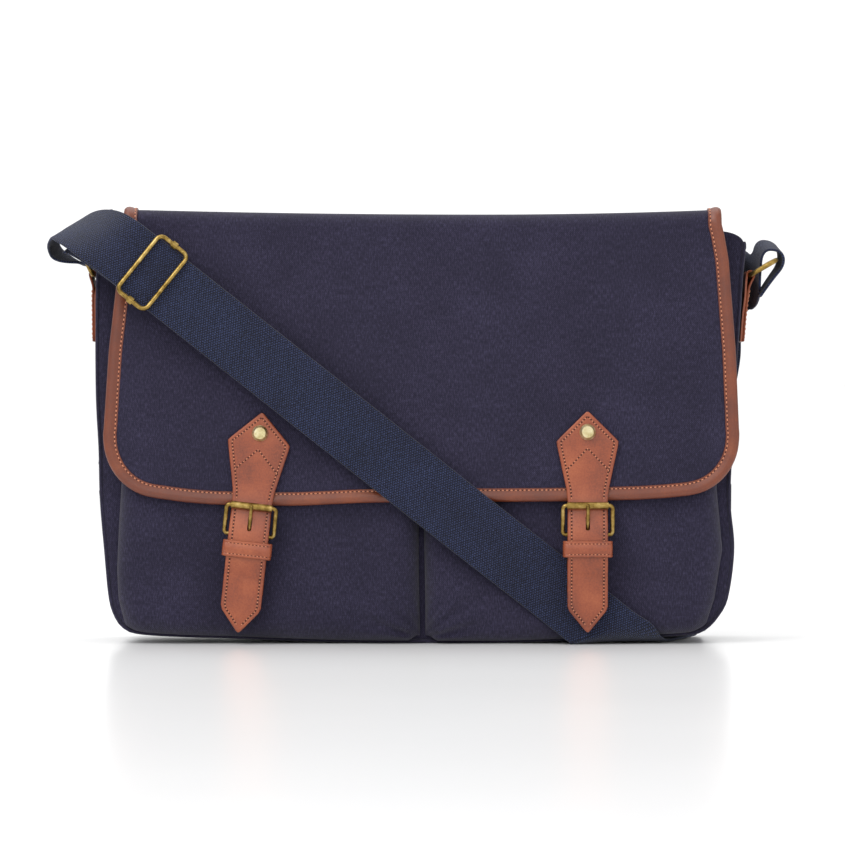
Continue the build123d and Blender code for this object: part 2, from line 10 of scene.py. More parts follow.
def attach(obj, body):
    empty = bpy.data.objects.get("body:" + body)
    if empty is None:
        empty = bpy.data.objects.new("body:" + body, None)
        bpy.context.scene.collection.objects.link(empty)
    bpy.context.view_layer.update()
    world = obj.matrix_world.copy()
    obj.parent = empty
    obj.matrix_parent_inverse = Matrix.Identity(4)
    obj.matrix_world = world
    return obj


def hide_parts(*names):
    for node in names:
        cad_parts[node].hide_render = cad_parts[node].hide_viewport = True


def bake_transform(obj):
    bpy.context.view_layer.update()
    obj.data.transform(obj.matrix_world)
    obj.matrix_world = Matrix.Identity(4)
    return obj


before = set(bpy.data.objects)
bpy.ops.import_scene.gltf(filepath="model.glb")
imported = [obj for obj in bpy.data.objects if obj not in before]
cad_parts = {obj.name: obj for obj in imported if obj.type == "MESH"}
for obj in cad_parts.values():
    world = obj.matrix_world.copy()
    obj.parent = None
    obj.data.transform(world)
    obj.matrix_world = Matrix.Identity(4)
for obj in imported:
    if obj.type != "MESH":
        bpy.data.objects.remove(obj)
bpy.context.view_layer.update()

MM = 0.001

# ---- camera and light
SCENE = bpy.context.scene
VIEW_X = 0.0006
VIEW_Z = 0.1376
VIEW_WIDTH = 0.5245         # width of the view at the flap's face
FACE_Y = -0.055
DISTANCE = 2.5
SENSOR = 36.0
SKY = 0.74                  # strength of the even white light from all round

camera_data = bpy.data.cameras.new("camera")
camera_data.sensor_width = SENSOR
camera_data.lens = SENSOR * DISTANCE / VIEW_WIDTH
camera_data.clip_end = 50.0
camera = bpy.data.objects.new("camera", camera_data)
camera.location = (VIEW_X, FACE_Y - DISTANCE, VIEW_Z)
camera.rotation_euler = (pi / 2, 0, 0)
SCENE.collection.objects.link(camera)
SCENE.camera = camera
SCENE.view_settings.view_transform = "Standard"

world = bpy.data.worlds.new("studio")
SCENE.world = world
world.use_nodes = True
world.node_tree.nodes["Background"].inputs[0].default_value = (1.0, 1.0, 1.0, 1.0)
world.node_tree.nodes["Background"].inputs[1].default_value = SKY


def area_light(name, place, aim, size, power):
    """A large soft lamp that looks at a point."""
    data = bpy.data.lights.new(name, "AREA")
    data.shape = "RECTANGLE"
    data.size = size[0]
    data.size_y = size[1]
    data.energy = power
    lamp = bpy.data.objects.new(name, data)
    lamp.location = place
    lamp.rotation_euler = (Vector(aim) - Vector(place)).to_track_quat("-Z", "Y").to_euler()
    SCENE.collection.objects.link(lamp)


area_light("key", (-1.2, -1.5, 2.1), (0, 0, 0.13), (1.3, 1.3), 30)
area_light("fill", (1.7, -1.6, 0.9), (0, 0, 0.13), (1.6, 1.6), 6)
area_light("front", (-0.25, -2.3, 0.95), (0, 0, 0.16), (0.9, 0.5), 7)
area_light("top", (0.0, 0.3, 2.0), (0, 0, 0.13), (2.0, 1.4), 14)
area_light("backdrop", (0.0, 1.9, 2.6), (0, 3.7, 0.5), (3.0, 0.8), 26)


# ---- materials
def linear(red, green, blue):
    """A screen colour, 0 to 255, as the shader's linear one."""
    return tuple((c / 255) ** 2.2 for c in (red, green, blue)) + (1.0,)


class Shader:
    """A Principled material whose texture nodes are added by short calls."""

    def __init__(self, name, roughness, specular=0.5, metallic=0.0, sheen=0.0, coat=0.0):
        self.mat = bpy.data.materials.new(name)
        self.mat.use_nodes = True
        self.tree = self.mat.node_tree
        self.bsdf = self.tree.nodes["Principled BSDF"]
        sockets = {
            "Roughness": roughness, "Specular IOR Level": specular, "Metallic": metallic,
            "Sheen Weight": sheen, "Sheen Roughness": 0.6, "Coat Weight": coat, "Coat Roughness": 0.42,
        }
        for socket, value in sockets.items():
            self.bsdf.inputs[socket].default_value = value

    def put(self, value, socket):
        """Link a socket or set a number."""
        if isinstance(value, bpy.types.NodeSocket):
            self.tree.links.new(value, socket)
        else:
            socket.default_value = value

    def calc(self, operation, a, b=0.0, c=0.0):
        """One Math node."""
        node = self.tree.nodes.new("ShaderNodeMath")
        node.operation = operation
        for value, socket in zip((a, b, c), node.inputs):
            self.put(value, socket)
        return node.outputs[0]

    def blend_in(self, tone, value, share, offset):
        """Add a share of one value, and an offset, to another."""
        return self.calc("ADD", tone, self.calc("MULTIPLY_ADD", value, share, offset))

    def uv(self):
        """The two cloth coordinates, in metres."""
        coordinates = self.tree.nodes.new("ShaderNodeTexCoord")
        split = self.tree.nodes.new("ShaderNodeSeparateXYZ")
        self.tree.links.new(coordinates.outputs["UV"], split.inputs[0])
        return split.outputs[0], split.outputs[1]

    def noise(self, scale, detail=3.0, rough=0.55, stretch=(1, 1, 1), space="Object"):
        """Noise over the surface, from 0 to 1 about a half."""
        coordinates = self.tree.nodes.new("ShaderNodeTexCoord")
        mapping = self.tree.nodes.new("ShaderNodeMapping")
        mapping.inputs["Scale"].default_value = stretch
        texture = self.tree.nodes.new("ShaderNodeTexNoise")
        texture.inputs["Scale"].default_value = scale
        texture.inputs["Detail"].default_value = detail
        texture.inputs["Roughness"].default_value = rough
        self.tree.links.new(coordinates.outputs[space], mapping.inputs[0])
        self.tree.links.new(mapping.outputs[0], texture.inputs["Vector"])
        return texture.outputs["Fac"]

    def ramp(self, value, stops):
        """Colours blended along a value."""
        node = self.tree.nodes.new("ShaderNodeValToRGB")
        elements = node.color_ramp.elements
        while len(elements) < len(stops):
            elements.new(0.5)
        for element, (place, colour) in zip(elements, stops):
            element.position = place
            element.color = colour
        self.put(value, node.inputs[0])
        return node.outputs[0]

    def bump(self, height, distance, strength):
        """Relief from a height in shares of a distance in metres."""
        node = self.tree.nodes.new("ShaderNodeBump")
        node.inputs["Strength"].default_value = strength
        node.inputs["Distance"].default_value = distance
        self.put(height, node.inputs["Height"])
        self.tree.links.new(node.outputs[0], self.bsdf.inputs["Normal"])

    def colour(self, socket):
        """The material's colour."""
        self.tree.links.new(socket, self.bsdf.inputs["Base Color"])

    def roughness(self, low, high, value):
        """Roughness that varies over the surface."""
        spread = self.calc("MULTIPLY_ADD", value, high - low, low)
        self.tree.links.new(spread, self.bsdf.inputs["Roughness"])


def canvas(name, dark, mid, light, pitch=1.25, strength=0.7):
    """Closely woven cotton canvas with slubby warp threads."""
    s = Shader(name, 0.93, specular=0.12, sheen=0.12)
    u, v = s.uv()
    warp = s.calc("SINE", s.calc("MULTIPLY", u, 2 * pi / (pitch * MM)))
    weft = s.calc("SINE", s.calc("MULTIPLY", v, 2 * pi / (pitch * 0.9 * MM)))
    cross = s.calc("MULTIPLY", warp, weft)
    slub = s.noise(1.0, 2.0, 0.6, (1250, 330, 1), "UV")
    pick = s.noise(1.0, 2.0, 0.6, (260, 1150, 1), "UV")
    mottle = s.noise(26, 3.0)
    tone = s.calc("MULTIPLY_ADD", cross, 0.10, 0.5)
    tone = s.blend_in(tone, slub, 0.60, -0.30)
    tone = s.blend_in(tone, pick, 0.20, -0.10)
    tone = s.blend_in(tone, mottle, 0.22, -0.11)
    s.colour(s.ramp(tone, [(0.25, dark), (0.5, mid), (0.8, light)]))
    height = s.calc("ADD", s.calc("MULTIPLY", cross, 0.5), s.calc("ADD", slub, pick))
    s.bump(height, 0.00022, strength)
    s.roughness(0.86, 0.98, mottle)
    return s.mat


def webbing(name):
    """Heavy cotton webbing: ribs across, wales along, with paler picks between."""
    s = Shader(name, 0.9, specular=0.15, sheen=0.15)
    u, v = s.uv()
    wale = s.calc("MULTIPLY", u, 1 / (1.3 * MM))
    parity = s.calc("MODULO", s.calc("FLOOR", s.calc("ADD", wale, 100.0)), 2.0)
    phase = s.calc("MULTIPLY_ADD", parity, pi, s.calc("MULTIPLY", v, 2 * pi / (1.7 * MM)))
    rib = s.calc("SINE", phase)
    fine = s.calc("SINE", s.calc("MULTIPLY", v, 2 * pi / (0.85 * MM)))
    cord = s.calc("ABSOLUTE", s.calc("SINE", s.calc("MULTIPLY", wale, pi)))
    fibre = s.noise(1.0, 2.0, 0.6, (900, 500, 1), "UV")
    patch = s.noise(40, 2.0)
    tone = s.calc("MULTIPLY_ADD", rib, 0.20, 0.41)
    tone = s.calc("ADD", tone, s.calc("MULTIPLY", fine, 0.10))
    tone = s.blend_in(tone, cord, 0.26, -0.14)
    tone = s.blend_in(tone, fibre, 0.7, -0.35)
    tone = s.blend_in(tone, patch, 0.2, -0.1)
    stops = [(0.18, linear(11, 12, 26)), (0.45, linear(23, 26, 47)), (0.85, linear(62, 74, 112))]
    s.colour(s.ramp(tone, stops))
    height = s.calc("ADD", s.calc("MULTIPLY", rib, 0.35), s.calc("MULTIPLY", cord, 0.9))
    height = s.calc("ADD", height, s.calc("MULTIPLY", fine, 0.45))
    s.bump(s.calc("ADD", height, fibre), 0.00035, 0.8)
    return s.mat


def leather(name, dark, mid, light):
    """Smooth tan leather with a fine grain, pulled tones and darker burnished patches."""
    s = Shader(name, 0.42, specular=0.55, coat=0.34)
    broad = s.noise(38, 4.0)
    fine = s.noise(900, 4.0, 0.6)
    pores = s.noise(2300, 2.0, 0.6)
    tone = s.blend_in(broad, fine, 0.5, -0.25)
    s.colour(s.ramp(tone, [(0.25, dark), (0.5, mid), (0.78, light)]))
    s.bump(s.calc("MULTIPLY_ADD", pores, 0.5, fine), 0.00022, 0.55)
    s.roughness(0.34, 0.58, fine)
    return s.mat


def metal(name, dark, mid, light, rough=0.3):
    """Plated metal with an aged, uneven film."""
    s = Shader(name, rough, metallic=1.0)
    film = s.noise(210, 4.0, 0.65)
    scratch = s.noise(1500, 2.0, 0.6)
    s.colour(s.ramp(film, [(0.3, dark), (0.52, mid), (0.75, light)]))
    s.roughness(rough - 0.06, rough + 0.22, film)
    s.bump(scratch, 0.00004, 0.4)
    return s.mat


def plain_thread(name, dark, light):
    """Twisted sewing thread, also used for the dark beads of painted shade at the needle holes."""
    s = Shader(name, 0.6, specular=0.3, sheen=0.1)
    twist = s.noise(3200, 2.0)
    s.colour(s.ramp(twist, [(0.35, dark), (0.65, light)]))
    s.bump(twist, 0.0001, 0.5)
    return s.mat


def studio(name):
    """The pale floor, faintly satin."""
    s = Shader(name, 0.26, specular=0.6)
    drift = s.noise(3, 2.0)
    s.colour(s.ramp(drift, [(0.3, (0.91, 0.91, 0.91, 1)), (0.7, (0.93, 0.93, 0.93, 1))]))
    return s.mat


CANVAS = canvas("navy_canvas", linear(28, 26, 40), linear(42, 39, 56), linear(72, 68, 92))
LINING = canvas("lining_cotton", linear(44, 44, 60), linear(62, 62, 82), linear(84, 84, 106), 0.8, 0.4)
WEB = webbing("navy_webbing")
TAN = leather("tan_leather", linear(104, 45, 21), linear(141, 66, 33), linear(166, 87, 49))
BINDING = leather("binding_leather", linear(88, 36, 8), linear(107, 46, 11), linear(129, 62, 22))
TAN_EDGE = leather("tan_leather_edge", linear(128, 66, 48), linear(160, 94, 72), linear(184, 120, 98))
BRASS = metal("antique_brass", linear(96, 76, 38), linear(152, 126, 70), linear(198, 172, 112))
# The rivet caps are the same brass made paler: a painted highlight on their domes.
BRASS_CAP_PAINTED_HIGHLIGHT = metal("brass_cap_painted_highlight", linear(170, 150, 96), linear(214, 200, 152), linear(240, 232, 200), 0.26)
NICKEL = metal("snap_nickel", linear(120, 118, 112), linear(176, 174, 168), linear(214, 212, 206))
THREAD = plain_thread("tan_thread", linear(176, 104, 72), linear(222, 152, 116))
# Needle holes: dark beads on the surface, painted shade where the holes would be.
HOLE_SHADE = plain_thread("needle_hole_shade", linear(58, 22, 13), linear(84, 34, 20))
NAVY_THREAD = plain_thread("navy_thread", linear(30, 30, 48), linear(62, 62, 90))
FLOOR = studio("studio_floor")


# ---- small geometry tools
def smooth(t):
    """A soft step from 0 at 0 to 1 at 1."""
    t = min(max(t, 0.0), 1.0)
    return t * t * (3 - 2 * t)


def quarter(t):
    """A quarter circle's rise from 0 at 0 to 1 at 1."""
    t = min(max(t, 0.0), 1.0)
    return sqrt(max(0.0, 1 - (1 - t) ** 2))


def table(x, pairs):
    """The value at x of pairs (x, value) in rising x, joined by straight runs."""
    return float(np.interp(x, [p[0] for p in pairs], [p[1] for p in pairs]))


def resample(points, step):
    """Points every step along a polyline, with both ends kept."""
    p = np.array(points, float)
    along = np.concatenate([[0], np.cumsum(np.linalg.norm(np.diff(p, axis=0), axis=1))])
    count = max(2, int(round(along[-1] / step)) + 1)
    marks = np.linspace(0, along[-1], count)
    return np.stack([np.interp(marks, along, p[:, k]) for k in range(p.shape[1])], axis=1)


def curve_through(points, step):
    """Points every step along a smooth curve through the given ones."""
    p = [np.array(q, float) for q in points]
    p = [2 * p[0] - p[1]] + p + [2 * p[-1] - p[-2]]
    dense = []
    for a, b, c, d in zip(p, p[1:], p[2:], p[3:]):
        for k in range(14):
            t = k / 14
            cubic = 3 * b - a - 3 * c + d
            dense.append(0.5 * (2 * b + (c - a) * t + (2 * a - 5 * b + 4 * c - d) * t**2 + cubic * t**3))
    dense.append(p[-2])
    return resample(dense, step)


def unit(a):
    """Vectors brought to length 1."""
    return a / np.maximum(np.linalg.norm(a, axis=-1, keepdims=True), 1e-9)


def ripple(x, y, z, size, seed=0.0):
    """A smooth wander between about -1 and 1."""
    return noise.noise(Vector((x / size + seed, y / size + 3.1 * seed, z / size)))


def build(name, verts, faces, uvs, material, sharp=48):
    """A mesh object from millimetres; uvs is one pair a vertex, in millimetres."""
    mesh = bpy.data.meshes.new(name)
    mesh.from_pydata([tuple(float(c) * MM for c in v) for v in verts], [], faces)
    layer = mesh.uv_layers.new(name="cloth")
    loops = np.zeros(len(mesh.loops), np.int32)
    mesh.loops.foreach_get("vertex_index", loops)
    layer.data.foreach_set("uv", (np.array(uvs, float)[loops] * MM).astype(np.float32).ravel())
    mesh.materials.append(material)
    mesh.polygons.foreach_set("use_smooth", [True] * len(mesh.polygons))
    mesh.set_sharp_from_angle(angle=radians(sharp))
    piece = bpy.data.objects.new(name, mesh)
    SCENE.collection.objects.link(piece)
    return piece


def cloth(name, rows, material, thick, flip=False, uvs=None):
    """A sheet of real thickness from a grid of points on its outer face."""
    p = np.array(rows, float)
    height, width = p.shape[:2]
    across = np.gradient(p, axis=1)
    along = np.gradient(p, axis=0)
    normal = unit(np.cross(across, along)) * (-1 if flip else 1)
    back = p - normal * thick
    verts = np.concatenate([p.reshape(-1, 3), back.reshape(-1, 3)])
    total = height * width
    faces = []

    def quad(a, b, c, d):
        faces.append((d, c, b, a) if flip else (a, b, c, d))

    for r in range(height - 1):
        for c in range(width - 1):
            a = r * width + c
            quad(a, a + 1, a + width + 1, a + width)
            quad(total + a + width, total + a + width + 1, total + a + 1, total + a)
    rim = list(range(width))
    rim += [r * width + width - 1 for r in range(1, height)]
    rim += [(height - 1) * width + c for c in range(width - 2, -1, -1)]
    rim += [r * width for r in range(height - 2, 0, -1)]
    for a, b in zip(rim, rim[1:] + rim[:1]):
        quad(b, a, a + total, b + total)
    if uvs is None:
        u = np.cumsum(np.linalg.norm(across, axis=2), axis=1)
        v = np.cumsum(np.linalg.norm(along, axis=2), axis=0)
        uvs = np.stack([u - u[:, width // 2 : width // 2 + 1], v], axis=2)
    flat = np.array(uvs, float).reshape(-1, 2)
    return build(name, verts, faces, np.concatenate([flat, flat]), material)


def loft(name, loops, material, uvs=None, closed=False, sharp=48):
    """A skin over closed sections, capped at both ends unless the path closes."""
    p = np.array(loops, float)
    count, size = p.shape[:2]
    faces = []
    spans = range(count if closed else count - 1)
    for r in spans:
        here, there = r * size, (r + 1) % count * size
        for c in range(size):
            d = (c + 1) % size
            faces.append((here + c, here + d, there + d, there + c))
    if not closed:
        faces.append(tuple(range(size - 1, -1, -1)))
        faces.append(tuple((count - 1) * size + c for c in range(size)))
    if uvs is None:
        ring = np.linalg.norm(p - np.roll(p, 1, axis=1), axis=2)
        u = np.cumsum(ring, axis=1)
        v = np.cumsum(np.linalg.norm(np.gradient(p, axis=0), axis=2), axis=0)
        uvs = np.stack([u, v], axis=2)
    return build(name, p.reshape(-1, 3), faces, np.array(uvs).reshape(-1, 2), material, sharp)


def sweep(name, path, outs, section, material, sharp, turn=1):
    """A section carried along a path; outs are the outward normals of the surface it lies on."""
    p = np.array(path, float)
    tangent = unit(np.gradient(p, axis=0))
    out = np.array(outs, float)
    out = unit(out - tangent * np.sum(out * tangent, axis=1, keepdims=True))
    side = np.cross(out, tangent) * turn
    s = np.array(section, float)
    loops = p[:, None] + side[:, None] * s[None, :, :1] + out[:, None] * s[None, :, 1:]
    if turn > 0:
        loops = loops[:, ::-1]
    return loft(name, loops, material, sharp=sharp)


def bead(at, along, out, length, width, rise):
    """Points and faces of one plump stitch."""
    side = np.cross(out, along)
    verts = [at - along * length / 2]
    for place, share in ((-0.36, 0.72), (0.0, 1.0), (0.36, 0.72)):
        for k in range(6):
            angle = k * pi / 3
            ring = side * cos(angle) * width / 2 * share + out * sin(angle) * rise * share
            verts.append(at + along * place * length + ring)
    verts.append(at + along * length / 2)
    faces = [(0, 1 + (k + 1) % 6, 1 + k) for k in range(6)]
    for ring in (1, 7):
        for k in range(6):
            d = (k + 1) % 6
            faces.append((ring + k, ring + d, ring + 6 + d, ring + 6 + k))
    faces += [(13 + k, 13 + (k + 1) % 6, 19) for k in range(6)]
    return verts, faces


def finish_piece(piece, body, *nodes):
    """A piece attached to its body, or left unattached with its transform baked where body is a joint; the
    named nodes are hidden.

    A joint is its two bodies and two points, none of which are used.
    """
    rigid = isinstance(body, str)
    if rigid:
        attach(piece, body)
    if nodes:
        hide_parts(*nodes)
    if not rigid:
        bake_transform(piece)


FORWARD = (0, -1, 0)
BACKWARD = (0, 1, 0)


def facing(points, out):
    """A stitch run: its points, and the one direction in which its surface faces."""
    return points, [out] * len(points)


def sew(name, body, runs, pitch, share, width, rise, material=THREAD, slot="leather", shift=0.0):
    """Stitches along runs of (points, outward normals), one bead each; share is bead to pitch."""
    verts, faces = [], []
    for points, outs in runs:
        p = np.array(points, float)
        o = np.array(outs, float)
        along = np.concatenate([[0], np.cumsum(np.linalg.norm(np.diff(p, axis=0), axis=1))])
        count = max(1, int(along[-1] // pitch))
        for k in range(count):
            mark = (k + 0.5 + shift) * along[-1] / count
            if mark > along[-1]:
                continue
            at = np.array([np.interp(mark, along, p[:, j]) for j in range(3)])
            ahead = np.array([np.interp(mark + 0.4, along, p[:, j]) for j in range(3)])
            behind = np.array([np.interp(mark - 0.4, along, p[:, j]) for j in range(3)])
            out = unit(np.array([np.interp(mark, along, o[:, j]) for j in range(3)]))
            new, skin = bead(at, unit(ahead - behind), out, pitch * share, width, rise)
            faces += [tuple(i + len(verts) for i in f) for f in skin]
            verts += new
    finish_piece(build(name, verts, faces, np.zeros((len(verts), 2)), material, 80), body)


# ---- shoulder webbing
WEB_WIDTH = 0.040
WEB_THICK = 1.7
WEB_FOLD = 33.0             # half of the longest section, at the oblique folds
RUN_ACROSS = (-0.61, -0.15, -0.78)

STRAP_ROUTE = [
    ((0.2130, 0.001, 0.2175), (0, 1, 0)),
    ((0.2195, 0.001, 0.2275), (0, 1, 0.03)),
    ((0.2284, 0.001, 0.2390), (0, 1, 0.08)),
    ((0.2262, 0.001, 0.2492), (0, 1, 0.16)),
    ((0.2140, 0.002, 0.2510), (0, 0.97, 0.2)),
    ((0.2120, 0.005, 0.2360), (-0.05, 0.93, 0.35)),
    ((0.2095, 0.023, 0.2300), (-0.15, 0.6, 0.78)),
    ((0.2065, 0.048, 0.2300), (-0.1, 0.1, 0.99)),
    ((0.1945, 0.062, 0.2130), (-0.4, 0.05, 0.9)),
    ((0.1830, 0.061, 0.1640), (-0.92, 0, 0.4)),
    ((0.1720, 0.058, 0.0840), (-1, 0, 0.1)),
    ((0.1650, 0.058, 0.0280), (-1, 0, 0.1)),
    ((0.1600, 0.057, 0.0013), (-1, 0, 0)),
    ((0.1480, 0.012, 0.0016), (-1, 0, 0)),
    ((0.1234, -0.052, 0.0013), (-1, 0, 0)),
    ((0.1010, -0.050, 0.0190), (-0.66, 0, -0.75)),
    ((0.0700, -0.0502, 0.0435), (-0.62, 0, -0.78)),
    ((0.0340, -0.0586, 0.0715), (-0.62, 0, -0.78)),
    ((-0.0020, -0.0608, 0.1000), (-0.62, 0, -0.78)),
    ((-0.0880, -0.0660, 0.1680), RUN_ACROSS),
    ((-0.1705, -0.0660, 0.2331), RUN_ACROSS),
    ((-0.1940, -0.0660, 0.2517), RUN_ACROSS),
    ((-0.2120, -0.0450, 0.2600), (-0.45, -0.65, -0.5)),
    ((-0.2250, -0.0180, 0.2595), (-0.2, -0.95, -0.18)),
    ((-0.2338, -0.0040, 0.2530), (-0.08, -0.96, -0.24)),
    ((-0.2315, 0, 0.2425), (0, -0.97, -0.22)),
    ((-0.2160, 0, 0.2387), (0, -1, 0)),
]
RETURN_ROUTE = [
    ((-0.21598, 0, 0.2387), (0, -1, 0)),
    ((-0.2070, 0, 0.2365), (0, -1, 0)),
    ((-0.2060, -0.006, 0.2470), (-0.1, -1, -0.1)),
    ((-0.2084, -0.022, 0.2572), (-0.3, -0.9, -0.3)),
    ((-0.2095, -0.042, 0.2575), (-0.6, -0.4, -0.65)),
    ((-0.1945, -0.0615, 0.2510), (-0.61, -0.2, -0.77)),
    ((-0.1682, -0.0619, 0.2313), RUN_ACROSS),
]


def nurbs_points(points):
    """The points of the smooth line that has the given ones as its control points."""
    curve = bpy.data.curves.new("route", "CURVE")
    curve.dimensions = "3D"
    curve.resolution_u = 16
    spline = curve.splines.new("NURBS")
    spline.points.add(len(points) - 1)
    for point, place in zip(spline.points, points):
        point.co = (*place, 1.0)
    spline.order_u = 3
    spline.use_endpoint_u = True
    holder = bpy.data.objects.new("route", curve)
    SCENE.collection.objects.link(holder)
    mesh = bpy.data.meshes.new_from_object(holder)
    line = np.array([v.co for v in mesh.vertices], float)
    bpy.data.objects.remove(holder)
    bpy.data.meshes.remove(mesh)
    return line


def web_band(name, route):
    """Woven webbing along a route: flat, firm selvedges, longer sections where it folds obliquely."""
    centre = nurbs_points([p for p, _ in route])
    edge = nurbs_points([tuple(np.array(p) + unit(np.array(w, float)) * WEB_WIDTH / 2) for p, w in route])
    across = unit(edge - centre)
    centre = centre / MM
    tangent = unit(np.gradient(centre, axis=0))
    slant = np.linalg.norm(np.cross(across, tangent), axis=1)
    half = np.minimum(WEB_WIDTH / MM / 2 / np.maximum(slant, 0.3), WEB_FOLD)
    out = unit(np.cross(tangent, across))
    along = np.concatenate([[0], np.cumsum(np.linalg.norm(np.diff(centre, axis=0), axis=1))])
    columns = np.array([-1, -0.985, -0.94, -0.86, -0.7, -0.5, -0.25, 0, 0.25, 0.5, 0.7, 0.86, 0.94, 0.985, 1])
    swell = np.array([0.35, 0.8, 1, 1.06, 1, 0.96, 0.95, 0.95, 0.95, 0.96, 1, 1.06, 1, 0.8, 0.35])
    loops, uvs = [], []
    for k in range(len(centre)):
        wave = 0.25 * noise.noise(Vector((along[k] / 26, 0.3, 0.7)))
        bow = wave * (1 - columns**2)
        top = centre[k] + across[k] * (columns * half[k])[:, None]
        top = top + out[k] * (swell * WEB_THICK / 2 + bow)[:, None]
        low = centre[k] + across[k] * (columns[::-1] * half[k])[:, None]
        low = low - out[k] * (swell[::-1] * WEB_THICK / 2 - bow[::-1])[:, None]
        loops.append(np.concatenate([top, low]))
        skew = np.dot(across[k], tangent[k])
        u = columns * WEB_WIDTH / MM / 2
        v = along[k] + columns * half[k] * skew
        uvs.append(np.concatenate([np.stack([u, v], 1), np.stack([u, v], 1)[::-1]]))
    return loft(name, loops, WEB, uvs=uvs, sharp=70), centre


strap, strap_line = web_band("shoulder_web", STRAP_ROUTE)
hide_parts("shoulder_strap")
return_web, _ = web_band("return_web", RETURN_ROUTE)
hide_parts("strap_return")


# ---- body shell
OUTLINE = [
    (-201.8, 251.0), (-202.8, 243.0), (-203.6, 228.0), (-204.0, 190.0), (-203.6, 152.0),
    (-202.0, 121.0), (-201.2, 90.0), (-198.6, 59.0), (-195.6, 28.0), (-191.8, 16.0), (-187.0, 9.6),
    (-177.5, 5.8), (-150.0, 4.0), (-120.0, 3.2), (-60.0, 1.0), (0.0, 0.3), (60.0, 0.6),
    (120.0, 3.0), (150.0, 4.2), (171.0, 5.8), (178.5, 9.4), (184.4, 15.6), (191.0, 28.0),
    (195.0, 59.0), (192.6, 90.0), (194.4, 130.0), (196.4, 170.0), (198.2, 195.0), (200.4, 228.0),
    (202.0, 243.0), (202.0, 251.0),
]
CORNER_Z = 60.0             # below here the sides round into the underside
PANEL_BACK = 49.0
PANEL_FRONT = -35.0
MOUTH_Z = 257.5
EAR_X = 201.6
EAR_Z = 249.5
EAR_R = 16.0
BACK_Z = 262.0
SEAM_R = 1.25
LINING_FRONT = -31.8
LINING_BACK = 45.6
LINING_IN = 4.6


def outline(inset):
    """The body's outline from its top left round to its top right, moved inwards."""
    line = curve_through(OUTLINE, 3.6)
    tangent = unit(np.gradient(line, axis=0))
    inward = np.stack([-tangent[:, 1], tangent[:, 0]], axis=1)
    return line + inward * inset


def panel_rows(line, top, rows, depth_at):
    """A grid that fills an outline: columns rise from its lower part to its top."""
    keep = [k for k in range(len(line)) if line[k, 1] <= CORNER_Z + 2.5]
    foot = line[keep[0] : keep[-1] + 1]
    left = [(z, x) for x, z in line[: keep[0] + 1][::-1]]
    right = [(z, x) for x, z in line[keep[-1] :]]
    grid = []
    for r in range(rows + 1):
        t = r / rows
        t = smooth(t) * 0.35 + t * 0.65
        row = []
        for x0, z0 in foot:
            ear = quarter((EAR_X - abs(x0) * EAR_X / abs(foot[0][0] if x0 < 0 else foot[-1][0])) / EAR_R)
            z = z0 + (EAR_Z + (top - EAR_Z) * ear - z0) * t
            side = left if x0 < 0 else right
            base = abs(table(side[0][0], side))
            x = x0 * abs(table(max(z, side[0][0]), side)) / base
            row.append((x, depth_at(x, z), z))
        grid.append(row)
    return np.array(grid)


def nearest_gap(line):
    """A function giving how far a point of the panel is from the outline."""
    def gap(x, z):
        return float(np.min(np.hypot(line[:, 0] - x, line[:, 1] - z)))
    return gap


def body_panel(name, node, face, sign, top):
    """Front or back panel: crowned, its edge rolling back to the seam."""
    line = outline(0.9)
    gap = nearest_gap(line)

    def depth(x, z):
        lift = quarter(gap(x, z) / 9.0)
        crown = 0.9 * (1 - (x / 200) ** 2) * sin(pi * min(max(z / 256, 0), 1))
        wander = 0.8 * ripple(x, sign, z, 75) + 0.35 * ripple(x, sign, z, 24, 4.0)
        return face + sign * (-2.2 + 2.2 * lift + (crown + wander) * lift)

    rows = panel_rows(line, top, 46, depth)
    panel = cloth(name, rows, CANVAS, 1.6, flip=sign > 0, uvs=rows[:, :, [0, 2]])
    finish_piece(panel, "bag", node)


def gusset_rows(inset, y_front, y_back, bulge):
    """The strip round the body's sides and underside, swelling between its seams."""
    line = outline(inset)
    tangent = unit(np.gradient(line, axis=0))
    outward = np.stack([tangent[:, 1], -tangent[:, 0]], axis=1)
    rows = []
    for k, (x, z) in enumerate(line):
        side = smooth((z - 8) / 50)
        row = []
        for c in range(19):
            t = 0.5 - 0.5 * cos(pi * c / 18)
            y = y_front + (y_back - y_front) * t
            swell = bulge * side * quarter(min(t, 1 - t) * 6)
            wander = 0.7 * ripple(x, y, z, 34, 2.0) + 0.3 * ripple(x, y, z, 13, 5.0)
            swell += side * wander * quarter(min(t, 1 - t) * 4)
            row.append((x + outward[k, 0] * swell, y, max(z + outward[k, 1] * swell, 0.2)))
        rows.append(row)
    return np.array(rows)


body_panel("front_canvas", "front_panel", -36.0, -1, MOUTH_Z)
body_panel("back_canvas", "back_panel", 50.0, 1, BACK_Z)

strip = gusset_rows(0.6, PANEL_FRONT + 1.2, PANEL_BACK - 0.4, 1.1)
gusset = cloth("gusset_canvas", strip, CANVAS, 1.6)
finish_piece(gusset, "bag", "gusset_left", "gusset_right", "base_panel")


def seam_roll(name, y, out):
    """The turned seam that joins a panel to the strip."""
    path, outs = facing([(x, y, z) for x, z in resample(outline(1.0), 4)], out)
    section = [(SEAM_R * cos(a * pi / 4), SEAM_R * sin(a * pi / 4)) for a in range(8)]
    finish_piece(sweep(name, path, outs, section, CANVAS, sharp=80), "bag")


seam_roll("seam_front", -34.6, FORWARD)
seam_roll("seam_back", 48.6, BACKWARD)

hem_runs = []
for drop in (4.0, 9.5):
    hem_runs.append(facing([(x, 50.6, BACK_Z - drop) for x in np.linspace(-197, 197, 60)], BACKWARD))
sew("hem_stitches_back", "bag", hem_runs, 3.4, 0.7, 0.6, 0.3, NAVY_THREAD, "canvas")


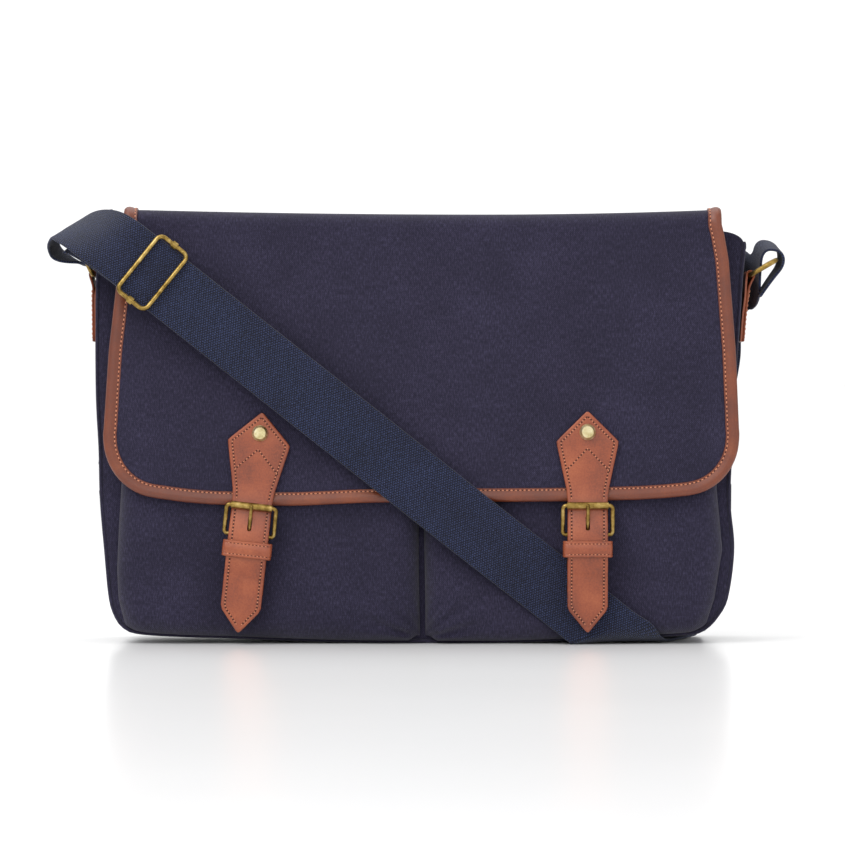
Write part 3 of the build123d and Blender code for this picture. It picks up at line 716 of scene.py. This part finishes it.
def lining_bag():
    """The thin cotton lining: two faces and the strip between them, hanging from the mouth."""
    line = outline(LINING_IN)
    for name, face, sign in (("lining_front", LINING_FRONT, 1), ("lining_back", LINING_BACK, -1)):
        rows = panel_rows(line, MOUTH_Z - 2, 40, lambda x, z: face + sign * ripple(x, face, z, 46, 7.0))
        panel = cloth(name, rows, LINING, 0.7, flip=sign > 0, uvs=rows[:, :, [0, 2]])
        finish_piece(panel, "bag", "lining")
    rows = gusset_rows(LINING_IN, LINING_FRONT, LINING_BACK, 0.0)
    inner = cloth("lining_strip", rows, LINING, 0.7, flip=True)
    finish_piece(inner, "bag")


lining_bag()


# ---- pockets
POCKET_DEPTH = 10.8
POCKET_SEAM_Y = -36.9
POCKET_TOP_Z = 168.0
LEFT_SEAM = [(6, -184.0), (28, -189.5), (46, -190.4), (70, -189.4), (102, -187.5), (168, -184.0)]
RIGHT_SEAM = [(8, 176.0), (28, 182.5), (59, 187.5), (96, 184.0), (168, 184.0)]


def pocket_grid(sign):
    """The pouch's outer face: rounded at its sewn edges, puckered where the fullness gathers."""
    low = [(x, z) for x, z in outline(1.2) if z < 120 and (abs(x) < 193 or z < 60)]
    seam = LEFT_SEAM if sign < 0 else RIGHT_SEAM
    outer = abs(table(20, seam))
    rows = []
    for r in range(61):
        t = 1 - cos(pi / 2 * r / 60)
        row = []
        for c in range(73):
            s = 0.5 - 0.5 * cos(pi * c / 72)
            across = s if sign > 0 else 1 - s
            rough = across * outer
            under = table(sign * max(rough, 1.5), low)
            heel = 3.4 * (1 - smooth((rough - 1.4) / 7.0)) + 0.1
            floor = under + (heel if rough < outer - 0.5 else 0.4)
            z = floor + (POCKET_TOP_Z - floor) * t
            edge = abs(table(z, seam))
            inner = 1.6 + 0.5 * sin(z / 23.0 + sign)
            x = sign * (inner + (edge - inner) * across)
            side = min(abs(x) - inner, edge - abs(x))
            body = quarter(side / 11.0) * quarter((z - floor) / 13.0)
            crown = (1.3 if sign < 0 else 0.5) * sin(pi * across) * sin(pi * t)
            gather = (1 - smooth((z - floor) / 46)) * (1 - smooth(abs(abs(x) - 14) / 46))
            pucker = 1.8 * gather * sin(atan2(z - 2, abs(x) + 4) * 17 + 0.6 * sign)
            heel_fold = 1.2 * (1 - smooth((z - floor) / 22)) * ripple(x, 0, z, 9, 3.0 + sign)
            wander = 1.9 * ripple(x, 0, z, 42, 1.0 + sign) + 0.8 * ripple(x, 0, z, 16, 6.0)
            fall = 1.0 * sin(abs(x) / 11.0 + z / 37.0) * smooth((90 - z) / 80)
            depth = body * (POCKET_DEPTH + crown) + body * (pucker + heel_fold + wander + fall)
            row.append((x, POCKET_SEAM_Y - max(depth, 0.0), z))
        rows.append(row)
    return np.array(rows)


for side, sign in (("left", -1), ("right", 1)):
    rows = pocket_grid(sign)
    pouch = cloth(f"pocket_{side}_canvas", rows, CANVAS, 1.4, uvs=rows[:, :, [0, 2]])
    finish_piece(pouch, "bag", f"pocket_{side}")


# ---- flap
RIDGE_Z = 270.2             # the flap's highest line, which sags between its corners
RIDGE_SAG = 2.8
RIDGE_LOW_X = 40.0
FLAP_FRONT_Y = -54.0
FOLD_RADIUS = 9.0
JOIN_Y = -41.0              # where the two sheets of the flap meet
SIDE_LOW = 128.0            # below here each side rounds into the hem
EDGE_TOP = 262.5
HEM_END = 162               # where the hem's straight part meets its corners
LEFT_EDGE = [(128, 198.0), (183, 194.4), (EDGE_TOP, 185.2)]
RIGHT_EDGE = [(128, 197.0), (152, 196.0), (183, 194.7), (239, 190.3), (257, 187.2), (EDGE_TOP, 186.0)]
HEM = [
    (-162, 90.6), (-150, 88.7), (-131, 87.0), (-100, 86.2), (-75, 86.2), (-38, 88.0), (0, 88.6), (48, 88.6),
    (100, 89.0), (135, 90.0), (154, 91.2), (162, 92.2),
]


def flap_half(z, inset, x):
    """How far the flap's edge is from the middle, on the side of x."""
    return table(z, LEFT_EDGE if x < 0 else RIGHT_EDGE) - inset


def ridge(x):
    """The height of the flap's upper edge."""
    reach = 225.0 if x < RIDGE_LOW_X else 150.0
    return RIDGE_Z - RIDGE_SAG * max(0.0, 1 - ((x - RIDGE_LOW_X) / reach) ** 2)


def flap_edge(inset):
    """The hanging edge from the left side round the hem to the right side, as (x, z)."""
    sides = []
    for sign in (-1, 1):
        reach = flap_half(SIDE_LOW, 0, sign) - HEM_END
        foot = SIDE_LOW - table(sign * HEM_END, HEM)
        side = [(sign * (HEM_END + reach - inset), 131.0)]
        for k in range(25):
            a = pi / 2 * k / 24
            side.append((sign * (HEM_END + (reach - inset) * cos(a)), SIDE_LOW - (foot - inset) * sin(a)))
        sides.append(side)
    hem = [(x, table(x, HEM) + inset) for x in np.linspace(-156, 156, 80)]
    line = resample(sides[0] + hem + sides[1][::-1], 3.4)
    soft = line.copy()
    for _ in range(3):
        soft[1:-1] = (soft[:-2] + 2 * soft[1:-1] + soft[2:]) / 4
    return soft


def flap_y(x, z):
    """The hanging part's outer face."""
    free = smooth((z - 96) / 60) * smooth((258 - z) / 30)
    return FLAP_FRONT_Y + 0.7 * free * ripple(x, 0, z, 85, 9.0) + 0.3 * free * ripple(x, 0, z, 28, 2.0)


def flap_z(x, y):
    """The top part's outer face, sagging a little over the open mouth."""
    span = max(0.0, 1 - ((y - 3) / 46) ** 2)
    return ridge(x) - 2.2 * span * (1 - (x / 190) ** 2) + 0.25 * ripple(x, y, 0, 60, 3.0) * span


def over_fold(x):
    """From the join over the front fold: (y, z) pairs of the outer face."""
    pairs = [(JOIN_Y, flap_z(x, JOIN_Y))]
    centre = (FLAP_FRONT_Y + FOLD_RADIUS, ridge(x) - FOLD_RADIUS)
    for k in range(9):
        a = pi / 2 + pi / 2 * k / 8
        pairs.append((centre[0] + FOLD_RADIUS * cos(a), centre[1] + FOLD_RADIUS * sin(a)))
    return pairs


def flap_front_rows():
    """The hanging sheet, from the join down to the hem."""
    edge = flap_edge(1.2)
    columns = []
    for x0, z0 in edge:
        base = flap_half(SIDE_LOW, 1.2, x0)

        def place(z):
            return x0 * flap_half(max(z, SIDE_LOW), 1.2, x0) / base
        column = [(place(260), y, z) for y, z in over_fold(x0)]
        start = column[-1][2]
        for r in range(1, 48):
            z = start + (z0 - start) * r / 47
            column.append((place(z), flap_y(place(z), z), z))
        columns.append(column)
    return np.array(columns).transpose(1, 0, 2)


FOLD = ("flap_top", "flap_front", (0, -0.042, 0.267), (0, -0.055, 0.254))
BACK = ("bag", "flap_top", (0, 0.0515, 0.262), (0, 0.0440, 0.268))

front_rows = flap_front_rows()
front_flap = cloth("flap_front_canvas", front_rows, CANVAS, 1.5, flip=True)
finish_piece(front_flap, FOLD, "flap_front_panel")

BACK_FOLD = [(51.9, -25.0), (51.9, -13.0), (51.6, -7.0), (50.2, -2.8), (47.0, -0.5), (43.5, 0.0)]
TOP_X = np.linspace(-184.0, 184.8, 90)


def flap_top_rows():
    """The sheet over the mouth, sewn to the back panel below its top edge."""
    rows = []
    for y, z in curve_through(BACK_FOLD, 2.2):
        rows.append([(x, y, z + ridge(x)) for x in TOP_X])
    for y in np.linspace(41.5, JOIN_Y, 34):
        rows.append([(x, y, flap_z(x, y)) for x in TOP_X])
    return np.array(rows)


top_rows = flap_top_rows()
top_flap = cloth("flap_top_canvas", top_rows, CANVAS, 1.5, flip=True)
finish_piece(top_flap, BACK, "flap_top_panel")

BIND_SECTION = [
    (8.5, 0.85), (8.3, 1.3), (7.8, 1.35), (7.2, 1.0), (6.4, 1.35), (5.4, 1.75), (4.2, 2.05), (3.0, 2.15),
    (1.8, 1.95), (0.8, 1.4), (0.1, 0.5), (0.1, -0.4), (0.7, -1.15), (1.9, -1.5), (5.4, -1.55),
    (8.3, -1.45), (8.5, -0.95),
]
BINDING_STITCH = (2.7, 0.56, 0.95, 0.46)    # pitch, share, width and rise
STITCH_IN = 7.2             # the row's distance from the flap's edge


def binding_path():
    """The flap's outer edge from the join on the left round to the join on the right."""
    sides = []
    for sign in (-1, 1):
        side = [(sign * flap_half(EDGE_TOP, 0, sign), y, z) for y, z in over_fold(sign * 184.0)]
        for z in np.linspace(254, 134, 36):
            side.append((sign * flap_half(z, 0, sign), FLAP_FRONT_Y + 0.7, z))
        sides.append(side)
    hem = [(x, FLAP_FRONT_Y + 0.7, z) for x, z in flap_edge(0.0)]
    path = sides[0] + hem + sides[1][::-1]
    outs = []
    for x, y, z in path:
        angle = smooth((RIDGE_Z - z) / FOLD_RADIUS) * pi / 2
        outs.append((0, -sin(angle), cos(angle)))
    return path, outs


bind_path, bind_outs = binding_path()
binding = sweep("binding_front_leather", bind_path, bind_outs, BIND_SECTION, BINDING, sharp=60)
finish_piece(binding, FOLD, "binding_front")


def beside(path, outs, inward, lift):
    """A path moved across the surface and lifted off it."""
    p = np.array(path, float)
    tangent = unit(np.gradient(p, axis=0))
    out = np.array(outs, float)
    side = unit(np.cross(out, tangent))
    return p + side * inward + out * lift, out


thread_runs = [beside(bind_path, bind_outs, STITCH_IN, 1.12)]
sew("binding_front_stitches", FOLD, thread_runs, *BINDING_STITCH)
# Dark beads between the stitches: painted shade for the needle holes.
hole_shade_runs = [beside(bind_path, bind_outs, STITCH_IN, 1.0)]
sew("binding_front_hole_shade", FOLD, hole_shade_runs, 2.7, 0.5, 1.15, 0.3, HOLE_SHADE, "leather", 0.5)

top_binding_runs = []
for name, sign in (("left", -1), ("right", 1)):
    edge_x = sign * flap_half(EDGE_TOP, 0, sign)
    path = [(edge_x, y, z + ridge(edge_x) - 0.8) for y, z in curve_through(BACK_FOLD, 2.2)]
    path += [(edge_x, y, flap_z(edge_x, y) - 0.8) for y in np.linspace(41.5, JOIN_Y, 24)]
    outs = []
    for x, y, z in path:
        angle = smooth((y - 43.5) / 8.0) * pi / 2
        outs.append((0, sin(angle), cos(angle)))
    piece = sweep(
        f"binding_top_{name}_leather", path, outs, BIND_SECTION, BINDING, sharp=60, turn=-sign
    )
    finish_piece(piece, BACK, *(["binding_top"] if sign < 0 else []))
    p = np.array(path) + np.array(outs) * 1.2 - np.array([sign * STITCH_IN, 0, 0])
    top_binding_runs.append((p, outs))
sew("binding_top_stitches", BACK, top_binding_runs, *BINDING_STITCH)

back_seam_runs = []
for z in (247.0, 254.5):
    back_seam_runs.append(facing([(x, 52.0, z) for x in np.linspace(-174, 174, 60)], BACKWARD))
sew("flap_seam_stitches", BACK, back_seam_runs, 3.4, 0.7, 0.7, 0.35, NAVY_THREAD, "canvas")


# ---- closures
HEAD_TOP = 58.0
SHOULDER_V = 39.5
NECK_V = 6.0
HALF_STRAP = 12.5
POINT_V = -64.0
TIP_V = -78.5
SLOT_V = -10.8              # middle of the prong's slot
SLOT_HALF = 3.4
KEEPER_V = -27.0
KEEPER_Y = -58.4
BAR_V = -18.0               # the buckle's rear bar
BAR_Y = -56.6
TAB_FOOT = -56.0            # the under tab's lower end
TAB_Y = -52.8
CLOSURE_PITCH = 2.15        # from stitch to stitch
STRAP_SIDE = [
    (-79.5, -56.6), (-50.0, -57.4), (-42.5, -58.3), (-34.0, -60.0), (-28.0, -60.25), (-20.0, -60.25),
    (-14.0, -59.8), (-6.0, -58.3), (0.0, -57.1), (6.0, -56.3), (14.0, -55.85), (59.0, -55.8),
]
WIDTHS = [
    (TIP_V, 0.6), (TIP_V + 1.0, 1.7), (POINT_V - 1.5, 11.4), (POINT_V + 1.5, HALF_STRAP),
    (NECK_V - 3, HALF_STRAP), (NECK_V + 4, 13.1), (SHOULDER_V - 2.5, 18.9), (SHOULDER_V, 19.2),
    (SHOULDER_V + 2.0, 17.6), (HEAD_TOP - 1.0, 1.9), (HEAD_TOP, 0.7),
]
SIDES = {"left": (-105.4, 86.0, radians(-6.3)), "right": (102.6, 86.5, 0.0)}


def strap_y(v):
    """The closure strap's middle layer, front to back."""
    return sum(table(v + d, STRAP_SIDE) for d in (-3, -1.5, 0, 1.5, 3)) / 5


def closure_point(side, x, v, y):
    """A point given across and along a closure."""
    x0, z0, lean = SIDES[side]
    return np.array([x0 + x * cos(lean) - v * sin(lean), y, z0 + x * sin(lean) + v * cos(lean)])


def strap_half(v):
    """Half of the closure strap's width."""
    return table(v, WIDTHS)


def closure_leather(side):
    """The pointed leather strap with rolled edges, a slight crown and a slot for the prong."""
    insets = [0.0, 0.25, 0.7, 1.3, 2.0, 2.6, 3.2, 4.5]
    stations = sorted(set([p[0] for p in WIDTHS] + list(np.linspace(TIP_V + 2, HEAD_TOP - 2, 92))))
    loops = []
    for v in stations:
        w = strap_half(v)
        xs = [-w + min(d, w * 0.12 * k) for k, d in enumerate(insets)]
        xs += [(w - 4.5) * f if w > 9 else w * 0.1 * f for f in (-0.5, -0.2, 0.2, 0.5)]
        xs += [-x for x in reversed(xs[: len(insets)])]
        xs = sorted(xs)
        front, back = [], []
        for x in xs:
            gap = max(0.0, min(w - abs(x), HEAD_TOP - v + 0.3, v - TIP_V + 0.3))
            roll = quarter(gap / 1.3)
            groove = 0.22 * max(0.0, 1 - abs(gap - 2.6) / 0.9)
            crease = 0.5 * max(0.0, 1 - abs(v + 44 + 0.15 * x) / 2.2)
            y = strap_y(v)
            front.append(closure_point(side, x, v, y - (0.15 + 0.8 * roll) + groove + crease))
            back.append(closure_point(side, x, v, y + 0.15 + 0.7 * roll))
        loops.append(front + back[::-1])
    piece = loft(f"closure_{side}_leather", loops, TAN, sharp=50)
    cutter_rows = []
    for y in (-70.0, -50.0):
        ring = []
        for k in range(20):
            a = 2 * pi * k / 20
            end = SLOT_V + SLOT_HALF * (1 if sin(a) > 0 else -1)
            ring.append(closure_point(side, 1.35 * cos(a), end + 1.3 * sin(a), y))
        cutter_rows.append(ring)
    cutter = loft("slot_cutter", cutter_rows[::-1], TAN_EDGE)
    cut = piece.modifiers.new("slot", "BOOLEAN")
    cut.object = cutter
    cut.operation = "DIFFERENCE"
    cut.solver = "EXACT"
    bpy.context.view_layer.update()
    graph = bpy.context.evaluated_depsgraph_get()
    mesh = bpy.data.meshes.new_from_object(piece.evaluated_get(graph), depsgraph=graph)
    piece.modifiers.clear()
    piece.data = mesh
    mesh.set_sharp_from_angle(angle=radians(50))
    bpy.data.objects.remove(cutter)
    finish_piece(piece, "flap_front", f"closure_strap_{side}")


def edge_run(side, inset, low, high, sign):
    """A stitch line beside one edge of the strap, between two heights."""
    pts = []
    for v in np.linspace(low, high, 60):
        slope = strap_half(v + 0.5) - strap_half(v - 0.5)
        w = strap_half(v) - inset * sqrt(1 + slope**2)
        if w > 0.2:
            pts.append(closure_point(side, sign * w, v, strap_y(v) - 0.86))
    return facing(pts, FORWARD)


def line_run(side, *corners):
    """A stitch line through corners given across and along the closure."""
    pts = [closure_point(side, x, v, strap_y(v) - 0.92) for x, v in resample(corners, 1.0)]
    return facing(pts, FORWARD)


def sew_between_holes(name, runs, thread, hole_shade):
    """Stitches and the needle holes between them, the holes as dark beads of painted shade; each given as
    share, width and rise.
    """
    sew(f"{name}_stitches", "flap_front", runs, CLOSURE_PITCH, *thread)
    sew(f"{name}_holes", "flap_front", runs, CLOSURE_PITCH, *hole_shade, HOLE_SHADE, "leather", 0.5)


def closure_stitches(side):
    """The closure's edge rows and its chevron, each stitch between needle holes drawn as dark beads of
    painted shade.
    """
    runs = []
    for sign in (-1, 1):
        runs.append(edge_run(side, 2.6, 3.5, 55.5, sign))
        runs.append(edge_run(side, 2.5, -75.5, -3.5, sign))
    runs.append(line_run(side, (-13.4, 21.5), (0, 35.4), (13.4, 21.5)))
    sew_between_holes(f"closure_{side}", runs, (0.5, 0.8, 0.4), (0.64, 1.3, 0.24))


def keeper_leather(side):
    """The loop that holds the tail: a closed band of thick leather."""
    half_w, half_d, corner = 14.65, 3.85, 1.9
    path = []
    for k in range(48):
        a = 2 * pi * k / 48 + pi / 48
        cx = (half_w - corner) * (1 if cos(a) > 0 else -1)
        cy = (half_d - corner) * (1 if sin(a) > 0 else -1)
        path.append((cx + corner * cos(a), cy + corner * sin(a)))
    section = [
        (-5.0, -0.5), (-5.0, 0.35), (-4.6, 0.62), (-3.6, 0.66), (-3.3, 0.45), (-3.0, 0.66), (0, 0.68),
        (3.0, 0.66), (3.3, 0.45), (3.6, 0.66), (4.6, 0.62), (5.0, 0.35), (5.0, -0.5), (4.6, -0.65),
        (-4.6, -0.65),
    ]
    loops = []
    for x, y in resample(path + path[:1], 1.2)[:-1]:
        near_x = min(max(x, corner - half_w), half_w - corner)
        near_y = min(max(y, corner - half_d), half_d - corner)
        ox, oy = unit(np.array([x - near_x, y - near_y]))
        loop = [closure_point(side, x + ox * h, KEEPER_V + a, KEEPER_Y - (y + oy * h)) for a, h in section]
        loops.append(loop)
    piece = loft(f"keeper_{side}_leather", loops, TAN, closed=True, sharp=60)
    finish_piece(piece, "flap_front", f"keeper_{side}")
    runs = []
    face = KEEPER_Y - half_d - 0.5
    for a in (-3.3, 3.3):
        pts = [closure_point(side, x, KEEPER_V + a, face) for x in np.linspace(-12.6, 12.6, 26)]
        runs.append(facing(pts, FORWARD))
    sew_between_holes(f"keeper_{side}", runs, (0.5, 0.7, 0.36), (0.55, 0.9, 0.2))


def under_tab_leather(side):
    """The tab behind the tail, folded over the buckle's rear bar with a notch for the prong."""
    for part, low, high in (("outer", 3.1, 12.5), ("inner", -12.5, -3.1)):
        path = [(BAR_V - 8.0, -52.9), (BAR_V - 4.0, -53.2)]
        for k in range(13):
            a = radians(-40 + 250 * k / 12)
            path.append((BAR_V + 1.85 * sin(a), BAR_Y + 1.85 * cos(a)))
        path = resample(path, 0.8)
        loops = []
        tangent = unit(np.gradient(path, axis=0))
        for (v, y), (tv, ty) in zip(path, tangent):
            section = ((low, -0.42), (high, -0.42), (high, 0.42), (low, 0.42))
            loops.append([closure_point(side, x, v + ty * h, y - tv * h) for x, h in section])
        fold = loft(f"under_tab_{side}_fold_{part}", loops, TAN_EDGE, sharp=40)
        finish_piece(fold, "flap_front")
    loops = []
    for v in np.concatenate([[TAB_FOOT, -55.7, -55.0], np.linspace(-54, -26.5, 12), [-25.5, -25.0]]):
        ease = quarter((v - TAB_FOOT) / 1.0) if v < -54 else 1.0
        w = HALF_STRAP
        if v < -53.5:
            w -= 2.0 * (1 - quarter((v - TAB_FOOT) / 2.5))
        low, high, under = 0.75 * ease, 0.92 * ease, -0.8 * ease
        loop = [(-w, 0.1), (-w + 0.3, low), (-w + 2.1, high), (-w + 2.6, low), (-w + 3.1, high)]
        loop += [(w - 3.1, high), (w - 2.6, low), (w - 2.1, high), (w - 0.3, low), (w, 0.1)]
        loop += [(w - 0.3, under), (-w + 0.3, under)]
        loops.append([closure_point(side, x, v, TAB_Y - h) for x, h in loop])
    piece = loft(f"under_tab_{side}_leather", loops, TAN, sharp=50)
    finish_piece(piece, "flap_front", f"under_tab_{side}")
    corners = [(-9.9, -27), (-9.9, -53.4), (9.9, -53.4), (9.9, -27)]
    pts = [closure_point(side, x, v, TAB_Y - 0.8) for x, v in resample(corners, 1.0)]
    sew(f"under_tab_{side}_stitches", "flap_front", [facing(pts, FORWARD)], 2.7, 0.6, 0.8, 0.35)


for side in SIDES:
    closure_leather(side)
    closure_stitches(side)
    keeper_leather(side)
    under_tab_leather(side)


# ---- ring tabs
RING_BAR_X = 207.0
RING_BAR_Z = 231.0
RING_FOOT_Z = 189.0


def ring_tab(side, sign, foot):
    """Folded leather round the ring's bar, both layers sewn to the side of the bag."""
    bar = (sign * RING_BAR_X, RING_BAR_Z)
    inner_foot, outer_foot = sign * (foot - 0.7), sign * (foot + 0.7)
    lean = RING_BAR_X - foot
    mid = [(inner_foot, RING_FOOT_Z), (inner_foot + sign * lean * 0.22, 205.0)]
    mid += [(inner_foot + sign * lean * 0.5, 217.0), (sign * 204.2, 226.5)]
    for k in range(9):
        a = radians(200 - 230 * k / 8)
        mid.append((bar[0] + sign * 2.45 * cos(a), bar[1] + 2.45 * sin(a)))
    mid += [(sign * (207.4 - lean * 0.24), 223.0), (outer_foot + sign * lean * 0.44, 214.0)]
    mid += [(outer_foot + sign * lean * 0.22, 204.0), (outer_foot, RING_FOOT_Z)]
    path = curve_through(mid, 1.6)
    tangent = unit(np.gradient(path, axis=0))
    loops = []
    for (x, z), (tx, tz) in zip(path, tangent):
        half = 16.6 - 1.6 * smooth((z - 206) / 22) - 1.2 * (1 - quarter((z - 188.0) / 4.0))
        section = [(-half, 0.45), (-half + 0.3, 0.7), (-half + 2.2, 0.74), (half - 2.2, 0.74)]
        section += [(half - 0.3, 0.7), (half, 0.45), (half, -0.6), (-half, -0.6)]
        loops.append([(x + tz * h * sign, y, z - tx * h * sign) for y, h in section])
    if sign < 0:
        loops = [loop[::-1] for loop in loops]
    piece = loft(f"ring_tab_{side}_leather", loops, TAN, sharp=55)
    finish_piece(piece, "bag", f"ring_tab_{side}")
    runs = []
    face = sign * (foot + 1.45)
    stand = [(RING_FOOT_Z, 0.0), (204, lean * 0.22), (214, lean * 0.44), (223, lean * 0.76 - 0.2)]
    for corners in (
        [(-13.6, 222.0), (-14.2, 205.0), (-14.2, 191.5), (14.2, 191.5), (14.2, 205.0), (13.6, 222.0)],
        [(-13.2, 219.5), (0.0, 207.0), (13.2, 219.5)],
    ):
        pts = [(face + sign * table(z, stand), y, z) for y, z in resample(corners, 1.0)]
        runs.append(facing(pts, (sign, 0, 0)))
    sew(f"ring_tab_{side}_stitches", "bag", runs, 2.9, 0.6, 0.9, 0.4)


ring_tab("left", -1, 206.2)
ring_tab("right", 1, 201.6)


# ---- metal parts of the CAD model
def dress(node, material):
    """A CAD part keeps its shape and takes a finished material."""
    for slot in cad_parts[node].material_slots:
        slot.material = material


for side in SIDES:
    for part in ("buckle_frame", "buckle_roller", "buckle_prong", "strap_ring"):
        dress(f"{part}_{side}", BRASS)
    # The rivets take the paler brass, a painted highlight on their caps.
    dress(f"rivet_{side}", BRASS_CAP_PAINTED_HIGHLIGHT)
    dress(f"snap_stud_{side}", NICKEL)
    dress(f"snap_socket_{side}", NICKEL)
dress("slider_frame", BRASS)
dress("slider_bar", BRASS)


# ---- floor
def floor():
    """A plain floor that curves up into its backdrop."""
    flat_end, bend = 2.9, 0.8
    profile = [(-6.0, 0.0), (flat_end, 0.0)]
    for k in range(1, 13):
        a = pi / 2 * k / 12
        profile.append((flat_end + bend * sin(a), bend - bend * cos(a)))
    profile.append((flat_end + bend, 4.0))
    rows = [[(x, y, z) for x in (-5, -2, 0, 2, 5)] for y, z in profile]
    verts = [v for row in rows for v in row]
    faces = []
    for r in range(len(rows) - 1):
        for c in range(4):
            a = r * 5 + c
            faces.append((a, a + 1, a + 6, a + 5))
    mesh = bpy.data.meshes.new("floor")
    mesh.from_pydata(verts, [], faces)
    mesh.materials.append(FLOOR)
    mesh.polygons.foreach_set("use_smooth", [True] * len(mesh.polygons))
    piece = bpy.data.objects.new("floor", mesh)
    SCENE.collection.objects.link(piece)


floor()

# ---- finish
finish_piece(strap, ("bag", "ring_right", (0.2105, 0, 0.2330), (0.2220, 0, 0.2405)))
finish_piece(return_web, ("bag", "slider", (-0.205, -0.050, 0.256), (-0.180, -0.062, 0.240)))
